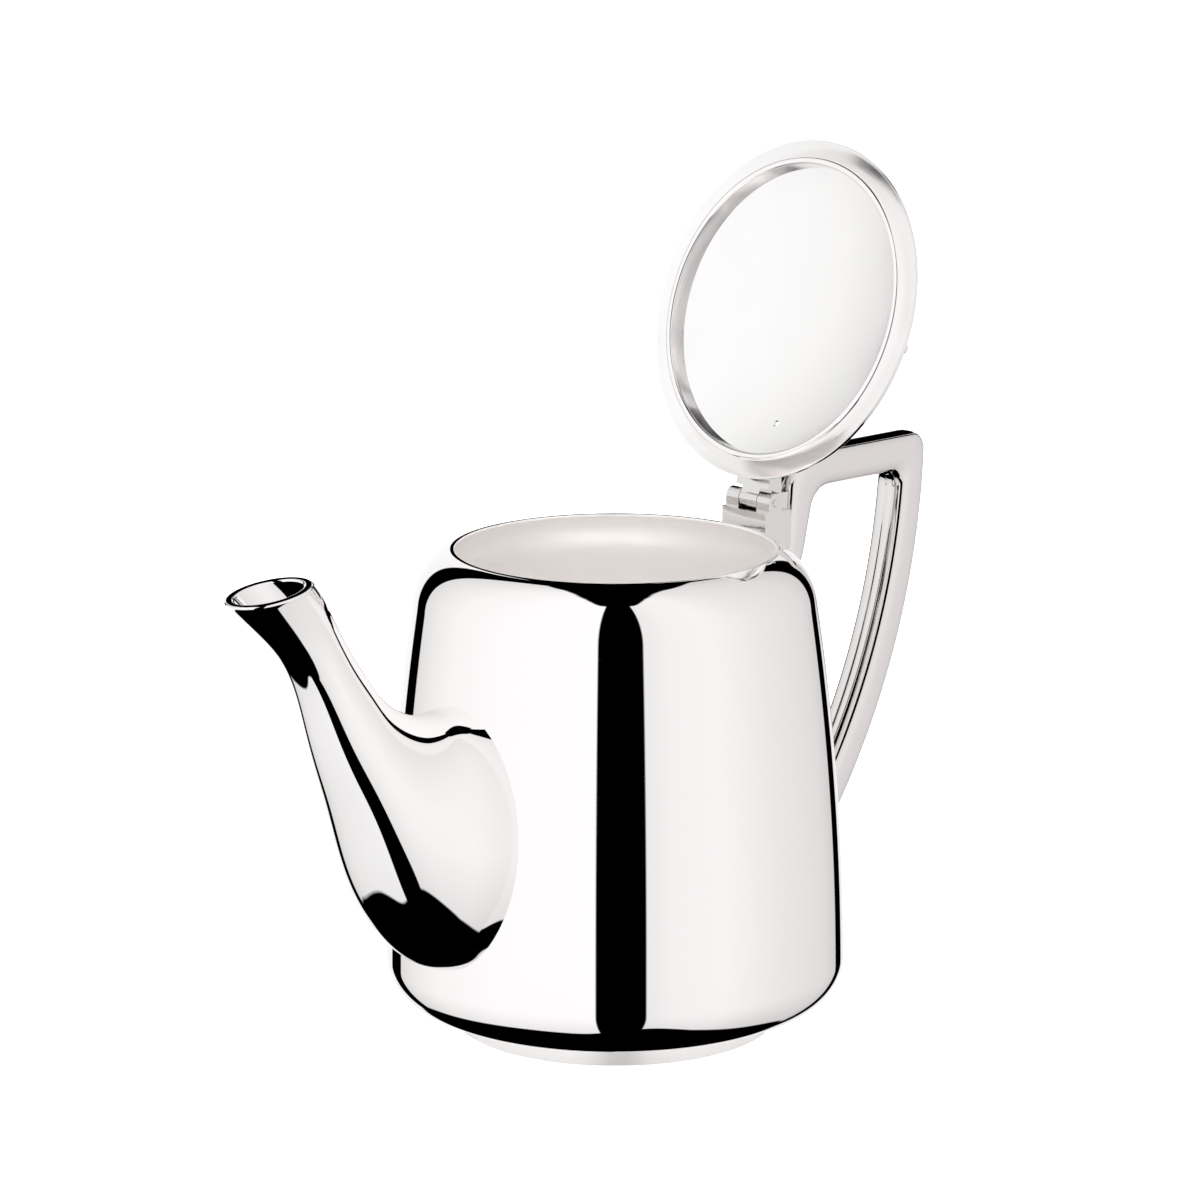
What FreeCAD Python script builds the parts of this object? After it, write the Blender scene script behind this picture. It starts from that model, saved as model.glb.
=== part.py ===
import FreeCAD, Part
import math
import os

import Sketcher

# Polished silver-plated teapot with a hinged lid, millimetres.
# Spout towards -X, handle towards +X, mirror plane Y = 0, the foot stands on Z = 0.
# The lid pieces are drawn closed and then turned open about the hinge pin.

V = FreeCAD.Vector
START, END, MIDDLE = range(1, 4)
ORIGIN = -1
UPRIGHT_AXIS = -2
PIN_X = "(sizes.lid_radius + sizes.hinge_setback)"
PIN_Z = "(sizes.rim_height + sizes.hinge_rise)"

SIZES = [
    ("rim_height", 109.3, "rim above the table"),
    ("sheet_wall", 0.9, "spun sheet of the pot"),
    ("shoulder_radius", 15.65, "rounding of the shoulder"),
    ("belly_radius", 52.0, "widest radius of the pot"),
    ("shoulder_reach", 16.0, "mouth of the pot inside its widest radius"),
    ("belly_height", 6.6, "height of the centre of the side bow"),
    ("side_bow_radius", 608.0, "slow outward bow of the side"),
    ("bottom_corner_radius", 10.0, "rounding above the foot"),
    ("foot_height", 5.6, "pot bottom above the table"),
    ("foot_inset", 15.7, "foot ring inside the widest radius"),
    ("foot_taper", 0.6, "foot ring narrower at its top"),
    ("foot_wall", 1.4, "foot ring sheet"),
    ("foot_flange", 4.5, "foot flange soldered under the pot"),
    ("strainer_hole", 4.0, "pierced hole at the spout root"),
    ("strainer_pitch", 6.4, "spacing of the pierced holes"),
    ("strainer_height", 54.0, "middle of the pierced field"),
    ("spout_wall", 1.2, "sheet of the spout"),
    ("spout_lip", 1.9, "rolled lip of the spout"),
    ("lip_round", 0.5, "rounding of the lip"),
    ("handle_width", 9.4, "handle across"),
    ("handle_wall", 1.3, "sheet of the hollow handle"),
    ("handle_edge", 3.0, "rounding along the handle"),
    ("handle_rise", 14.2, "top of the handle above the rim"),
    ("bar_depth", 8.7, "top bar of the handle"),
    ("grip_radius", 154.4, "outer curve of the grip"),
    ("grip_set_back", 109.6, "grip curve centre behind the widest radius"),
    ("grip_centre_rise", 16.1, "grip curve centre above the rim"),
    ("grip_depth", 8.9, "grip front to back"),
    ("corner_radius", 3.3, "outer corner of the handle"),
    ("inner_corner_radius", 3.5, "inner corner of the handle"),
    ("neck_inset", 6.5, "centre of the neck bend inside the widest radius"),
    ("neck_drop", 5.8, "centre of the neck bend below the rim"),
    ("neck_bend_radius", 4.0, "front of the neck bend"),
    ("neck_depth", 7.5, "handle neck front to back"),
    ("neck_front_lean", 6.0, "front of the neck, degrees"),
    ("neck_back_lean", 14.0, "back of the neck, degrees"),
    ("neck_top_radius", 9.0, "neck into the top bar"),
    ("neck_fillet_radius", 6.0, "under the top bar"),
    ("hinge_setback", 3.95, "hinge pin behind the lid edge"),
    ("hinge_rise", 4.9, "hinge pin above the rim"),
    ("hinge_width", 14.0, "hinge across"),
    ("knuckle_radius", 2.1, "hinge knuckle"),
    ("knuckle_width", 5.6, "middle knuckle, on the lid"),
    ("knuckle_gap", 0.15, "end play of the middle knuckle"),
    ("turning_gap", 0.35, "room round turning hinge pieces"),
    ("pin_diameter", 1.8, "hinge pin"),
    ("pin_play", 0.05, "radial play of the lid on the pin"),
    ("pin_seat", 0.02, "radial fit of the pin in the pot knuckles"),
    ("pin_proud", 0.25, "pin end beyond the knuckle"),
    ("pin_round", 0.2, "rounded pin end"),
    ("leaf_front", 3.3, "hinge block ahead of the pin"),
    ("stop_width", 6.6, "hinge stop across"),
    ("stop_back", 2.7, "hinge stop behind the pin"),
    ("heel_rise", 3.0, "lid leaf heel above the pin"),
    ("heel_front", 2.6, "lid leaf heel ahead of the pin"),
    ("leaf_width", 10.4, "lid leaf across"),
    ("leaf_reach", 9.0, "lid leaf ahead of the pin"),
    ("leaf_toe", 0.6, "lid leaf toe above the pin"),
    ("lid_open", 109.4, "lid open, degrees"),
    ("lid_overhang", 3.5, "lid edge beyond the mouth"),
    ("lid_dome_radius", 72.5, "hollow of the lid dome"),
    ("lid_sheet", 0.9, "sheet of the lid"),
    ("lid_seat_gap", 0.4, "lid above the shoulder when shut"),
    ("bezel_clearance", 0.6, "bezel inside the mouth"),
    ("bezel_thickness", 1.7, "bezel ring"),
    ("bezel_drop", 1.3, "bezel below the lid edge"),
    ("vent_hole", 1.5, "steam hole in the lid"),
    ("vent_reach", 25.5, "steam hole from the lid axis"),
    ("knob_height", 30.9, "knob above the dome"),
    ("knob_foot_radius", 6.2, "knob foot"),
    ("knob_foot_height", 1.5, "knob foot edge"),
    ("knob_step", 0.8, "shoulder on the knob foot"),
    ("knob_neck_radius", 2.5, "knob waist"),
    ("knob_neck_height", 8.0, "knob waist above the dome"),
    ("knob_bulb_radius", 7.3, "knob grip"),
    ("knob_collar_radius", 1.3, "below the knob tip"),
    ("knob_collar_height", 25.6, "collar above the dome"),
    ("knob_tip_radius", 1.5, "ball tip"),
]

# Sizes that follow from two driving ones: name, base, sign and offset.
DERIVED = [
    ("opening_radius", "belly_radius", -1, "shoulder_reach"),
    ("foot_radius", "belly_radius", -1, "foot_inset"),
    ("lid_radius", "opening_radius", 1, "lid_overhang"),
    ("neck_bend_x", "belly_radius", -1, "neck_inset"),
    ("neck_bend_height", "rim_height", -1, "neck_drop"),
    ("handle_top", "rim_height", 1, "handle_rise"),
    ("grip_centre_back", "grip_set_back", -1, "belly_radius"),
    ("grip_centre_height", "rim_height", 1, "grip_centre_rise"),
]

# Sections of the spout from its root in the pot to its mouth: distance outside
# the pot's widest radius, height, lean in degrees, depth and width.
SPOUT_SECTIONS = [
    ("root", -12.7, 51.2, 94.9, 59.0, 38.0),
    ("swell", 2.8, 52.5, 83.5, 57.0, 36.5),
    ("waist", 15.6, 62.2, 70.4, 40.8, 27.6),
    ("rise", 25.6, 77.9, 66.7, 25.9, 19.5),
    ("neck", 31.5, 91.5, 43.0, 16.4, 14.5),
    ("throat", 39.7, 106.1, 28.7, 15.6, 13.4),
    ("mouth", 47.6, 114.8, 8.5, 20.5, 16.1),
]


def fill_sheet(doc):
    """Write the driving sizes to the sheet and return them by name."""
    sheet = doc.addObject("Spreadsheet::Sheet", "sizes")
    rows = list(SIZES)
    for name, out, height, lean, depth, width in SPOUT_SECTIONS:
        rows.append((f"spout_{name}_out", out, "spout section outside the pot's widest radius"))
        rows.append((f"spout_{name}_height", height, "spout section height"))
        rows.append((f"spout_{name}_lean", lean, "spout section lean, degrees"))
        rows.append((f"spout_{name}_depth", depth, "spout section front to back"))
        rows.append((f"spout_{name}_width", width, "spout section across"))
    for row, (name, value, note) in enumerate(rows, start=1):
        sheet.set(f"A{row}", name)
        sheet.set(f"B{row}", str(value))
        sheet.setAlias(f"B{row}", name)
        sheet.set(f"C{row}", note)
    doc.recompute()
    s = {name: float(sheet.get(name)) for name, _, _ in rows}
    for name, base, sign, offset in DERIVED:
        s[name] = s[base] + sign * s[offset]
    return s


def follow(expression):
    """Write out the derived sizes of an expression in driving ones."""
    for name, base, sign, offset in reversed(DERIVED):
        rule = f"(sizes.{base} {'+' if sign > 0 else '-'} sizes.{offset})"
        expression = expression.replace(f"sizes.{name}", rule)
    return expression


class Outline:
    """A sketch on one of a body's own planes, with sizes bound to the sheet."""

    def __init__(self, body, role, name):
        self.sketch = body.newObject("Sketcher::SketchObject", name)
        plane = next(f for f in body.Origin.OriginFeatures if f.Role == role)
        self.sketch.AttachmentSupport = (plane, [""])
        self.sketch.MapMode = "FlatFace"

    def line(self, start, end):
        return self.sketch.addGeometry(Part.LineSegment(V(*start, 0), V(*end, 0)), False)

    def arc(self, centre, radius, first, last):
        """Add a counter-clockwise arc between two angles in degrees."""
        circle = Part.Circle(V(*centre, 0), V(0, 0, 1), radius)
        return self.sketch.addGeometry(
            Part.ArcOfCircle(circle, math.radians(first), math.radians(last)), False)

    def arc_through(self, start, middle, end):
        """Add an arc through three points; return it and the number of its first end."""
        number = self.sketch.addGeometry(Part.Arc(V(*start, 0), V(*middle, 0), V(*end, 0)), False)
        forward = self.sketch.getPoint(number, START).isEqual(V(*start, 0), 1e-6)
        return number, START if forward else END

    def spline(self, points):
        """Add a smooth curve through points."""
        curve = Part.BSplineCurve()
        curve.interpolate([V(*point, 0) for point in points])
        return self.sketch.addGeometry(curve, False)

    def circle(self, centre, radius):
        return self.sketch.addGeometry(Part.Circle(V(*centre, 0), V(0, 0, 1), radius), False)

    def polygon(self, points):
        """Add a closed run of lines and return the number of its first line."""
        lines = [self.line(a, b) for a, b in zip(points, points[1:] + points[:1])]
        for a, b in zip(lines, lines[1:] + lines[:1]):
            self.join(a, END, b, START)
        return lines[0]

    def join(self, first, first_end, second, second_end, smooth=False):
        kind = "Tangent" if smooth else "Coincident"
        self.sketch.addConstraint(
            Sketcher.Constraint(kind, first, first_end, second, second_end))

    def rule(self, kind, *where):
        self.sketch.addConstraint(Sketcher.Constraint(kind, *where))

    def size(self, kind, expression, value, *where):
        """Add a dimension that follows an expression of the sheet."""
        number = self.sketch.addConstraint(Sketcher.Constraint(kind, *where, value))
        self.sketch.setExpression(f"Constraints[{number}]", follow(expression))

    def place(self, geometry, end, across=None, up=None):
        """Hold a point at a distance across and up from the sketch origin."""
        point = self.sketch.getPoint(geometry, end)
        if across:
            self.size("DistanceX", across, point.x, ORIGIN, START, geometry, end)
        if up:
            self.size("DistanceY", up, point.y, ORIGIN, START, geometry, end)

    def radius(self, geometry, expression):
        self.size("Radius", expression, self.sketch.Geometry[geometry].Radius, geometry)


def add_body(doc, name):
    return doc.addObject("PartDesign::Body", name)


def revolve(body, outline, name):
    feature = body.newObject("PartDesign::Revolution", name)
    feature.Profile = outline.sketch
    feature.ReferenceAxis = (outline.sketch, ["V_Axis"])
    feature.Angle = 360.0
    return feature


def pad(body, outline, name, width):
    """Pad a side outline equally to both sides of the mirror plane."""
    feature = body.newObject("PartDesign::Pad", name)
    feature.Profile = outline.sketch
    feature.Midplane = True
    feature.setExpression("Length", follow(width))
    return feature


def pocket(body, outline, name, length, midplane=True, reverse=False):
    """Cut an outline out of the body."""
    feature = body.newObject("PartDesign::Pocket", name)
    feature.Profile = outline.sketch
    feature.Midplane = midplane
    feature.Reversed = reverse
    feature.setExpression("Length", follow(length))
    return feature


def round_edges(doc, body, name, radius, chosen):
    """Fillet the edges of the body's tip that a test picks out."""
    doc.recompute()
    tip = body.Tip
    names = [f"Edge{n}" for n, edge in enumerate(tip.Shape.Edges, start=1) if chosen(edge)]
    feature = body.newObject("PartDesign::Fillet", name)
    feature.Base = (tip, names)
    feature.setExpression("Radius", radius)
    return feature


def cut(doc, name, base, tool):
    feature = doc.addObject("Part::Cut", name)
    feature.Base = base
    feature.Tool = tool
    return feature


def pot_circles(s):
    """Work out the tangent circles of the pot's side from its driving sizes."""
    side = (s["belly_radius"] - s["side_bow_radius"], s["belly_height"])
    rim = (s["opening_radius"] + s["sheet_wall"], s["rim_height"])
    reach = s["side_bow_radius"] - s["shoulder_radius"]
    away = math.dist(side, rim)
    along = (reach ** 2 - s["shoulder_radius"] ** 2 + away ** 2) / (2 * away)
    beside = math.sqrt(reach ** 2 - along ** 2)
    ux, uz = (rim[0] - side[0]) / away, (rim[1] - side[1]) / away
    shoulder = (side[0] + along * ux + beside * uz, side[1] + along * uz - beside * ux)
    corner_height = s["foot_height"] + s["bottom_corner_radius"]
    corner_reach = s["side_bow_radius"] - s["bottom_corner_radius"]
    drop = corner_height - side[1]
    corner = (side[0] + math.sqrt(corner_reach ** 2 - drop ** 2), corner_height)
    return {
        "side": side,
        "shoulder": shoulder,
        "corner": corner,
        "rim": rim,
        "high": angle_of(side, shoulder),
        "low": angle_of(side, corner),
        "lip": angle_of(shoulder, rim),
    }


def angle_of(start, end):
    return math.degrees(math.atan2(end[1] - start[1], end[0] - start[0]))


def shoulder_height(s, circles, radius):
    """Height of the pot's shoulder at a radius."""
    centre = circles["shoulder"]
    return centre[1] + math.sqrt(s["shoulder_radius"] ** 2 - (radius - centre[0]) ** 2)


def outer_side(outline, s, c):
    """Draw the outer bottom, side and shoulder of the pot; return their numbers."""
    base = outline.line((0, s["foot_height"]), (c["corner"][0], s["foot_height"]))
    corner = outline.arc(c["corner"], s["bottom_corner_radius"], -90, c["low"])
    side = outline.arc(c["side"], s["side_bow_radius"], c["low"], c["high"])
    shoulder = outline.arc(c["shoulder"], s["shoulder_radius"], c["high"], c["lip"])
    outline.join(base, END, corner, START, smooth=True)
    outline.join(corner, END, side, START, smooth=True)
    outline.join(side, END, shoulder, START, smooth=True)
    outline.rule("Horizontal", base)
    outline.rule("PointOnObject", base, START, UPRIGHT_AXIS)
    outline.place(base, START, up="sizes.foot_height")
    outline.radius(corner, "sizes.bottom_corner_radius")
    outline.radius(side, "sizes.side_bow_radius")
    outline.radius(shoulder, "sizes.shoulder_radius")
    outline.size("DistanceX", "sizes.side_bow_radius - sizes.belly_radius", -c["side"][0],
                 side, MIDDLE, ORIGIN, START)
    outline.place(side, MIDDLE, up="sizes.belly_height")
    outline.place(shoulder, END, "sizes.opening_radius + sizes.sheet_wall", "sizes.rim_height")
    return base, side, shoulder


def make_envelope(doc, s, c):
    """The pot as if it were solid, to trim what is soldered to its outside."""
    body = add_body(doc, "pot_envelope")
    outline = Outline(body, "XZ_Plane", "pot_outside")
    base, _, shoulder = outer_side(outline, s, c)
    top = outline.line(c["rim"], (0, s["rim_height"]))
    axis = outline.line((0, s["rim_height"]), (0, s["foot_height"]))
    outline.join(shoulder, END, top, START)
    outline.join(top, END, axis, START)
    outline.join(axis, END, base, START)
    outline.rule("Horizontal", top)
    outline.rule("PointOnObject", top, END, UPRIGHT_AXIS)
    revolve(body, outline, "pot_outside_turn")
    return body


def make_body_shell(doc, s, c):
    """Spun pot with its bottom, open at the rim and pierced behind the spout."""
    body = add_body(doc, "body_shell")
    outline = Outline(body, "XZ_Plane", "pot_section")
    wall = s["sheet_wall"]
    base, side, shoulder = outer_side(outline, s, c)
    inner_shoulder = s["shoulder_radius"] - wall
    lip_angle = math.degrees(math.acos((s["opening_radius"] - c["shoulder"][0]) / inner_shoulder))
    lip_z = c["shoulder"][1] + inner_shoulder * math.sin(math.radians(lip_angle))
    lip_top = (s["opening_radius"], s["rim_height"])
    floor = s["foot_height"] + wall
    rim = outline.line(c["rim"], lip_top)
    lip = outline.line(lip_top, (s["opening_radius"], lip_z))
    inside = [
        outline.arc(c["shoulder"], inner_shoulder, c["high"], lip_angle),
        outline.arc(c["side"], s["side_bow_radius"] - wall, c["low"], c["high"]),
        outline.arc(c["corner"], s["bottom_corner_radius"] - wall, -90, c["low"]),
        outline.line((c["corner"][0], floor), (0, floor)),
    ]
    axis = outline.line((0, floor), (0, s["foot_height"]))
    outline.join(shoulder, END, rim, START)
    outline.join(rim, END, lip, START)
    outline.join(lip, END, inside[0], END)
    outline.join(inside[0], START, inside[1], END, smooth=True)
    outline.join(inside[1], START, inside[2], END, smooth=True)
    outline.join(inside[2], START, inside[3], START, smooth=True)
    outline.join(inside[3], END, axis, START)
    outline.join(axis, END, base, START)
    outline.rule("Horizontal", rim)
    outline.rule("Vertical", lip)
    outline.rule("Horizontal", inside[3])
    outline.rule("PointOnObject", inside[3], END, UPRIGHT_AXIS)
    outline.rule("Coincident", inside[1], MIDDLE, side, MIDDLE)
    outline.rule("Horizontal", inside[0], MIDDLE, shoulder, MIDDLE)
    outline.place(lip, END, across="sizes.opening_radius")
    outline.place(inside[3], END, up="sizes.foot_height + sizes.sheet_wall")
    outline.radius(inside[0], "sizes.shoulder_radius - sizes.sheet_wall")
    outline.radius(inside[1], "sizes.side_bow_radius - sizes.sheet_wall")
    outline.radius(inside[2], "sizes.bottom_corner_radius - sizes.sheet_wall")
    revolve(body, outline, "pot_turn")
    pierce_strainer(doc, body, s)
    return body


def pierce_strainer(doc, body, s):
    """Pierce a six-sided field of round holes through the wall behind the spout."""
    outline = Outline(body, "YZ_Plane", "strainer_holes")
    rows = {-2: 3, -1: 4, 0: 5, 1: 4, 2: 3}
    for row, count in rows.items():
        for place in range(count):
            step = place - (count - 1) / 2
            across = step * s["strainer_pitch"]
            up = s["strainer_height"] + row * s["strainer_pitch"] * math.sqrt(3) / 2
            hole = outline.circle((across, up), s["strainer_hole"] / 2)
            outline.radius(hole, "sizes.strainer_hole / 2")
            outline.size("DistanceY", f"sizes.strainer_height + {row} * sizes.strainer_pitch * sqrt(3) / 2",
                         up, ORIGIN, START, hole, MIDDLE)
            if step > 0:
                outline.size("DistanceX", f"{step} * sizes.strainer_pitch", across,
                             ORIGIN, START, hole, MIDDLE)
            elif step < 0:
                outline.size("DistanceX", f"{-step} * sizes.strainer_pitch", -across,
                             hole, MIDDLE, ORIGIN, START)
            else:
                outline.rule("PointOnObject", hole, MIDDLE, UPRIGHT_AXIS)
    doc.recompute()
    before = body.Shape.Volume
    pocket(body, outline, "strainer", "sizes.belly_radius * 1.2", midplane=False)
    doc.recompute()
    if body.Shape.Volume >= before:
        raise RuntimeError("strainer holes missed the wall")


def make_foot_ring(doc, s):
    """Spun foot soldered under the pot by its flange."""
    body = add_body(doc, "foot_ring")
    outline = Outline(body, "XZ_Plane", "foot_section")
    radius, wall, height = s["foot_radius"], s["foot_wall"], s["foot_height"]
    top = radius - s["foot_taper"]
    points = [
        (radius, 0), (top, height), (radius - s["foot_flange"], height),
        (radius - s["foot_flange"], height - wall), (top - wall, height - wall), (radius - wall, 0),
    ]
    first = outline.polygon(points)
    outline.rule("PointOnObject", first, START, ORIGIN)
    outline.place(first, START, across="sizes.foot_radius")
    outline.place(first, END, "sizes.foot_radius - sizes.foot_taper", "sizes.foot_height")
    outline.place(first + 2, START, "sizes.foot_radius - sizes.foot_flange", "sizes.foot_height")
    outline.place(first + 3, START, "sizes.foot_radius - sizes.foot_flange",
                  "sizes.foot_height - sizes.foot_wall")
    outline.place(first + 4, START, "sizes.foot_radius - sizes.foot_taper - sizes.foot_wall",
                  "sizes.foot_height - sizes.foot_wall")
    outline.rule("PointOnObject", first + 5, START, ORIGIN)
    outline.place(first + 5, START, across="sizes.foot_radius - sizes.foot_wall")
    revolve(body, outline, "foot_turn")
    round_edges(doc, body, "foot_rounding", "sizes.foot_wall / 4",
                lambda edge: edge.BoundBox.ZMax < s["foot_wall"] / 10 and edge.Closed)
    return body


def spout_section(body, s, name, lining):
    """Draw the left half of one oval section of the spout, or of its bore, on a leaning plane."""
    kind = "bore" if lining else "spout"
    outline = Outline(body, "YZ_Plane", f"{kind}_{name}")
    sketch = outline.sketch
    out, height, lean = (s[f"spout_{name}_{key}"] for key in ("out", "height", "lean"))
    turn = FreeCAD.Rotation(V(1, 0, 0), 90 - lean)
    sketch.AttachmentOffset = FreeCAD.Placement(V(0, height, -s["belly_radius"] - out), turn)
    sketch.setExpression("AttachmentOffset.Base.y", f"sizes.spout_{name}_height")
    sketch.setExpression("AttachmentOffset.Base.z", f"-sizes.belly_radius - sizes.spout_{name}_out")
    sketch.setExpression("AttachmentOffset.Rotation.Angle", f"90 - sizes.spout_{name}_lean")
    wall = "spout_lip" if name == "mouth" else "spout_wall"
    less = 2 * s[wall] if lining else 0
    minus = f" - 2 * sizes.{wall}" if lining else ""
    depth, width = s[f"spout_{name}_depth"] - less, s[f"spout_{name}_width"] - less
    ellipse = Part.Ellipse(V(0, depth / 2, 0), V(-width / 2, 0, 0), V(0, 0, 0))
    oval = sketch.addGeometry(Part.ArcOfEllipse(ellipse, 0, math.pi), False)
    seam = outline.line((0, -depth / 2), (0, depth / 2))
    sketch.exposeInternalGeometry(oval)
    outline.join(oval, END, seam, START)
    outline.join(seam, END, oval, START)
    outline.rule("Coincident", oval, MIDDLE, ORIGIN, START)
    outline.rule("PointOnObject", seam, START, UPRIGHT_AXIS)
    outline.rule("PointOnObject", seam, END, UPRIGHT_AXIS)
    outline.size("Distance", f"sizes.spout_{name}_depth{minus}", depth, seam)
    outline.size("Distance", f"sizes.spout_{name}_width{minus}", width, seam + 2)
    return sketch


def make_spout_half(doc, s):
    """Left half of the hollow spout, longer than needed at its root, where the pot trims it."""
    body = add_body(doc, "spout_form")
    for kind, lining in (("PartDesign::AdditiveLoft", False), ("PartDesign::SubtractiveLoft", True)):
        sections = [spout_section(body, s, row[0], lining) for row in SPOUT_SECTIONS]
        loft = body.newObject(kind, "spout_bore" if lining else "spout_skin")
        loft.Profile = sections[0]
        loft.Sections = sections[1:]
        doc.recompute()
    low = s["spout_mouth_height"] - s["spout_mouth_depth"] / 4
    round_edges(doc, body, "spout_lip", "sizes.lip_round",
                lambda edge: edge.BoundBox.ZMin > low
                and edge.BoundBox.YLength > s["spout_mouth_width"] / 4)
    return body


def handle_outline(body, s, name, inset):
    """Draw the side view of the handle, or of its hollow when inset by the wall."""
    o = Outline(body, "XZ_Plane", name)
    top = s["handle_top"] - inset
    under = s["handle_top"] - s["bar_depth"] + inset
    grip = (-s["grip_centre_back"], s["grip_centre_height"])
    outer = s["grip_radius"] - inset
    inner = s["grip_radius"] - s["grip_depth"] + inset
    corner = s["corner_radius"] - inset
    crook = s["inner_corner_radius"] + inset
    bend = (s["neck_bend_x"], s["neck_bend_height"])
    front = s["neck_bend_radius"] + inset
    back = s["neck_bend_radius"] + s["neck_depth"] - inset
    crown = s["neck_top_radius"] - inset
    hollow = s["neck_fillet_radius"] + inset
    root_x = s["opening_radius"]
    foot_x = s["belly_radius"] - s["grip_depth"]

    def leaning(radius, lean, rounding, level):
        """Line from the neck bend up to a rounding of the top bar; ends and centre."""
        c, d = math.cos(math.radians(lean)), math.sin(math.radians(lean))
        low = (bend[0] + radius * c, bend[1] - radius * d)
        run = (level - rounding + rounding * d - low[1]) / c
        high = (low[0] + run * d, low[1] + run * c)
        return low, high, (high[0] + rounding * c, level - rounding)

    def nested(radius, rounding, level):
        """Centre of a rounding between the top bar and a grip curve."""
        z = level - rounding
        return grip[0] + math.sqrt((radius - rounding) ** 2 - (z - grip[1]) ** 2), z

    def grip_end(radius):
        """Angle where a grip curve ends inside the pot."""
        return -math.degrees(math.acos((foot_x - grip[0]) / radius))

    front_low, front_high, crown_at = leaning(front, s["neck_front_lean"], crown, top)
    back_low, back_high, hollow_at = leaning(back, s["neck_back_lean"], hollow, under)
    corner_at, crook_at = nested(outer, corner, top), nested(inner, crook, under)

    def grip_point(radius):
        end = math.radians(grip_end(radius))
        return grip[0] + radius * math.cos(end), grip[1] + radius * math.sin(end)

    root_top = o.line((root_x, bend[1] - front), (bend[0], bend[1] - front))
    front_bend = o.arc(bend, front, -90, -s["neck_front_lean"])
    front_line = o.line(front_low, front_high)
    crown_arc = o.arc(crown_at, crown, 90, 180 - s["neck_front_lean"])
    top_line = o.line((crown_at[0], top), (corner_at[0], top))
    corner_arc = o.arc(corner_at, corner, angle_of(grip, corner_at), 90)
    outer_arc = o.arc(grip, outer, grip_end(outer), angle_of(grip, corner_at))
    foot_line = o.line(grip_point(outer), grip_point(inner))
    inner_arc = o.arc(grip, inner, grip_end(inner), angle_of(grip, crook_at))
    crook_arc = o.arc(crook_at, crook, angle_of(grip, crook_at), 90)
    under_line = o.line((crook_at[0], under), (hollow_at[0], under))
    hollow_arc = o.arc(hollow_at, hollow, 90, 180 - s["neck_back_lean"])
    back_line = o.line(back_high, back_low)
    back_bend = o.arc(bend, back, -90, -s["neck_back_lean"])
    root_under = o.line((bend[0], bend[1] - back), (root_x, bend[1] - back))
    root_line = o.line((root_x, bend[1] - back), (root_x, bend[1] - front))

    o.join(root_top, END, front_bend, START, smooth=True)
    o.join(front_bend, END, front_line, START, smooth=True)
    o.join(front_line, END, crown_arc, END, smooth=True)
    o.join(crown_arc, START, top_line, START, smooth=True)
    o.join(top_line, END, corner_arc, END, smooth=True)
    o.join(corner_arc, START, outer_arc, END, smooth=True)
    o.join(outer_arc, START, foot_line, START)
    o.join(foot_line, END, inner_arc, START)
    o.join(inner_arc, END, crook_arc, START, smooth=True)
    o.join(crook_arc, END, under_line, START, smooth=True)
    o.join(under_line, END, hollow_arc, START, smooth=True)
    o.join(hollow_arc, END, back_line, START, smooth=True)
    o.join(back_line, END, back_bend, END, smooth=True)
    o.join(back_bend, START, root_under, START, smooth=True)
    o.join(root_under, END, root_line, START)
    o.join(root_line, END, root_top, START)

    shrink = " - sizes.handle_wall" if inset else ""
    grow = " + sizes.handle_wall" if inset else ""
    o.radius(front_bend, "sizes.neck_bend_radius" + grow)
    o.radius(back_bend, "sizes.neck_bend_radius + sizes.neck_depth" + shrink)
    o.radius(crown_arc, "sizes.neck_top_radius" + shrink)
    o.radius(hollow_arc, "sizes.neck_fillet_radius" + grow)
    o.radius(corner_arc, "sizes.corner_radius" + shrink)
    o.radius(crook_arc, "sizes.inner_corner_radius" + grow)
    o.radius(outer_arc, "sizes.grip_radius" + shrink)
    o.radius(inner_arc, "sizes.grip_radius - sizes.grip_depth" + grow)
    o.place(front_bend, MIDDLE, "sizes.neck_bend_x", "sizes.neck_bend_height")
    o.place(back_bend, MIDDLE, "sizes.neck_bend_x", "sizes.neck_bend_height")
    o.place(top_line, START, up="sizes.handle_top" + shrink)
    o.place(under_line, START, up="sizes.handle_top - sizes.bar_depth" + grow)
    for arc in (outer_arc, inner_arc):
        o.size("DistanceX", "sizes.grip_centre_back", -grip[0], arc, MIDDLE, ORIGIN, START)
        o.place(arc, MIDDLE, up="sizes.grip_centre_height")
    return o


def make_handle(doc, s):
    """Handle with rounded edges, whole and hollow; returns both bodies."""
    bodies = []
    for name, hollow in (("handle_form", False), ("handle_tube", True)):
        body = add_body(doc, name)
        pad(body, handle_outline(body, s, f"{name}_side", 0), f"{name}_pad", "sizes.handle_width")
        half = s["handle_width"] / 2
        slack = s["handle_width"] / 1000
        round_edges(doc, body, f"{name}_edges", "sizes.handle_edge",
                    lambda edge: abs(edge.BoundBox.YMin) > half - slack
                    and edge.BoundBox.YLength < slack < edge.BoundBox.XLength)
        if hollow:
            inner = handle_outline(body, s, f"{name}_hollow", s["handle_wall"])
            pocket(body, inner, f"{name}_core", "sizes.handle_width - 2 * sizes.handle_wall")
        bodies.append(body)
    return bodies


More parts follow.
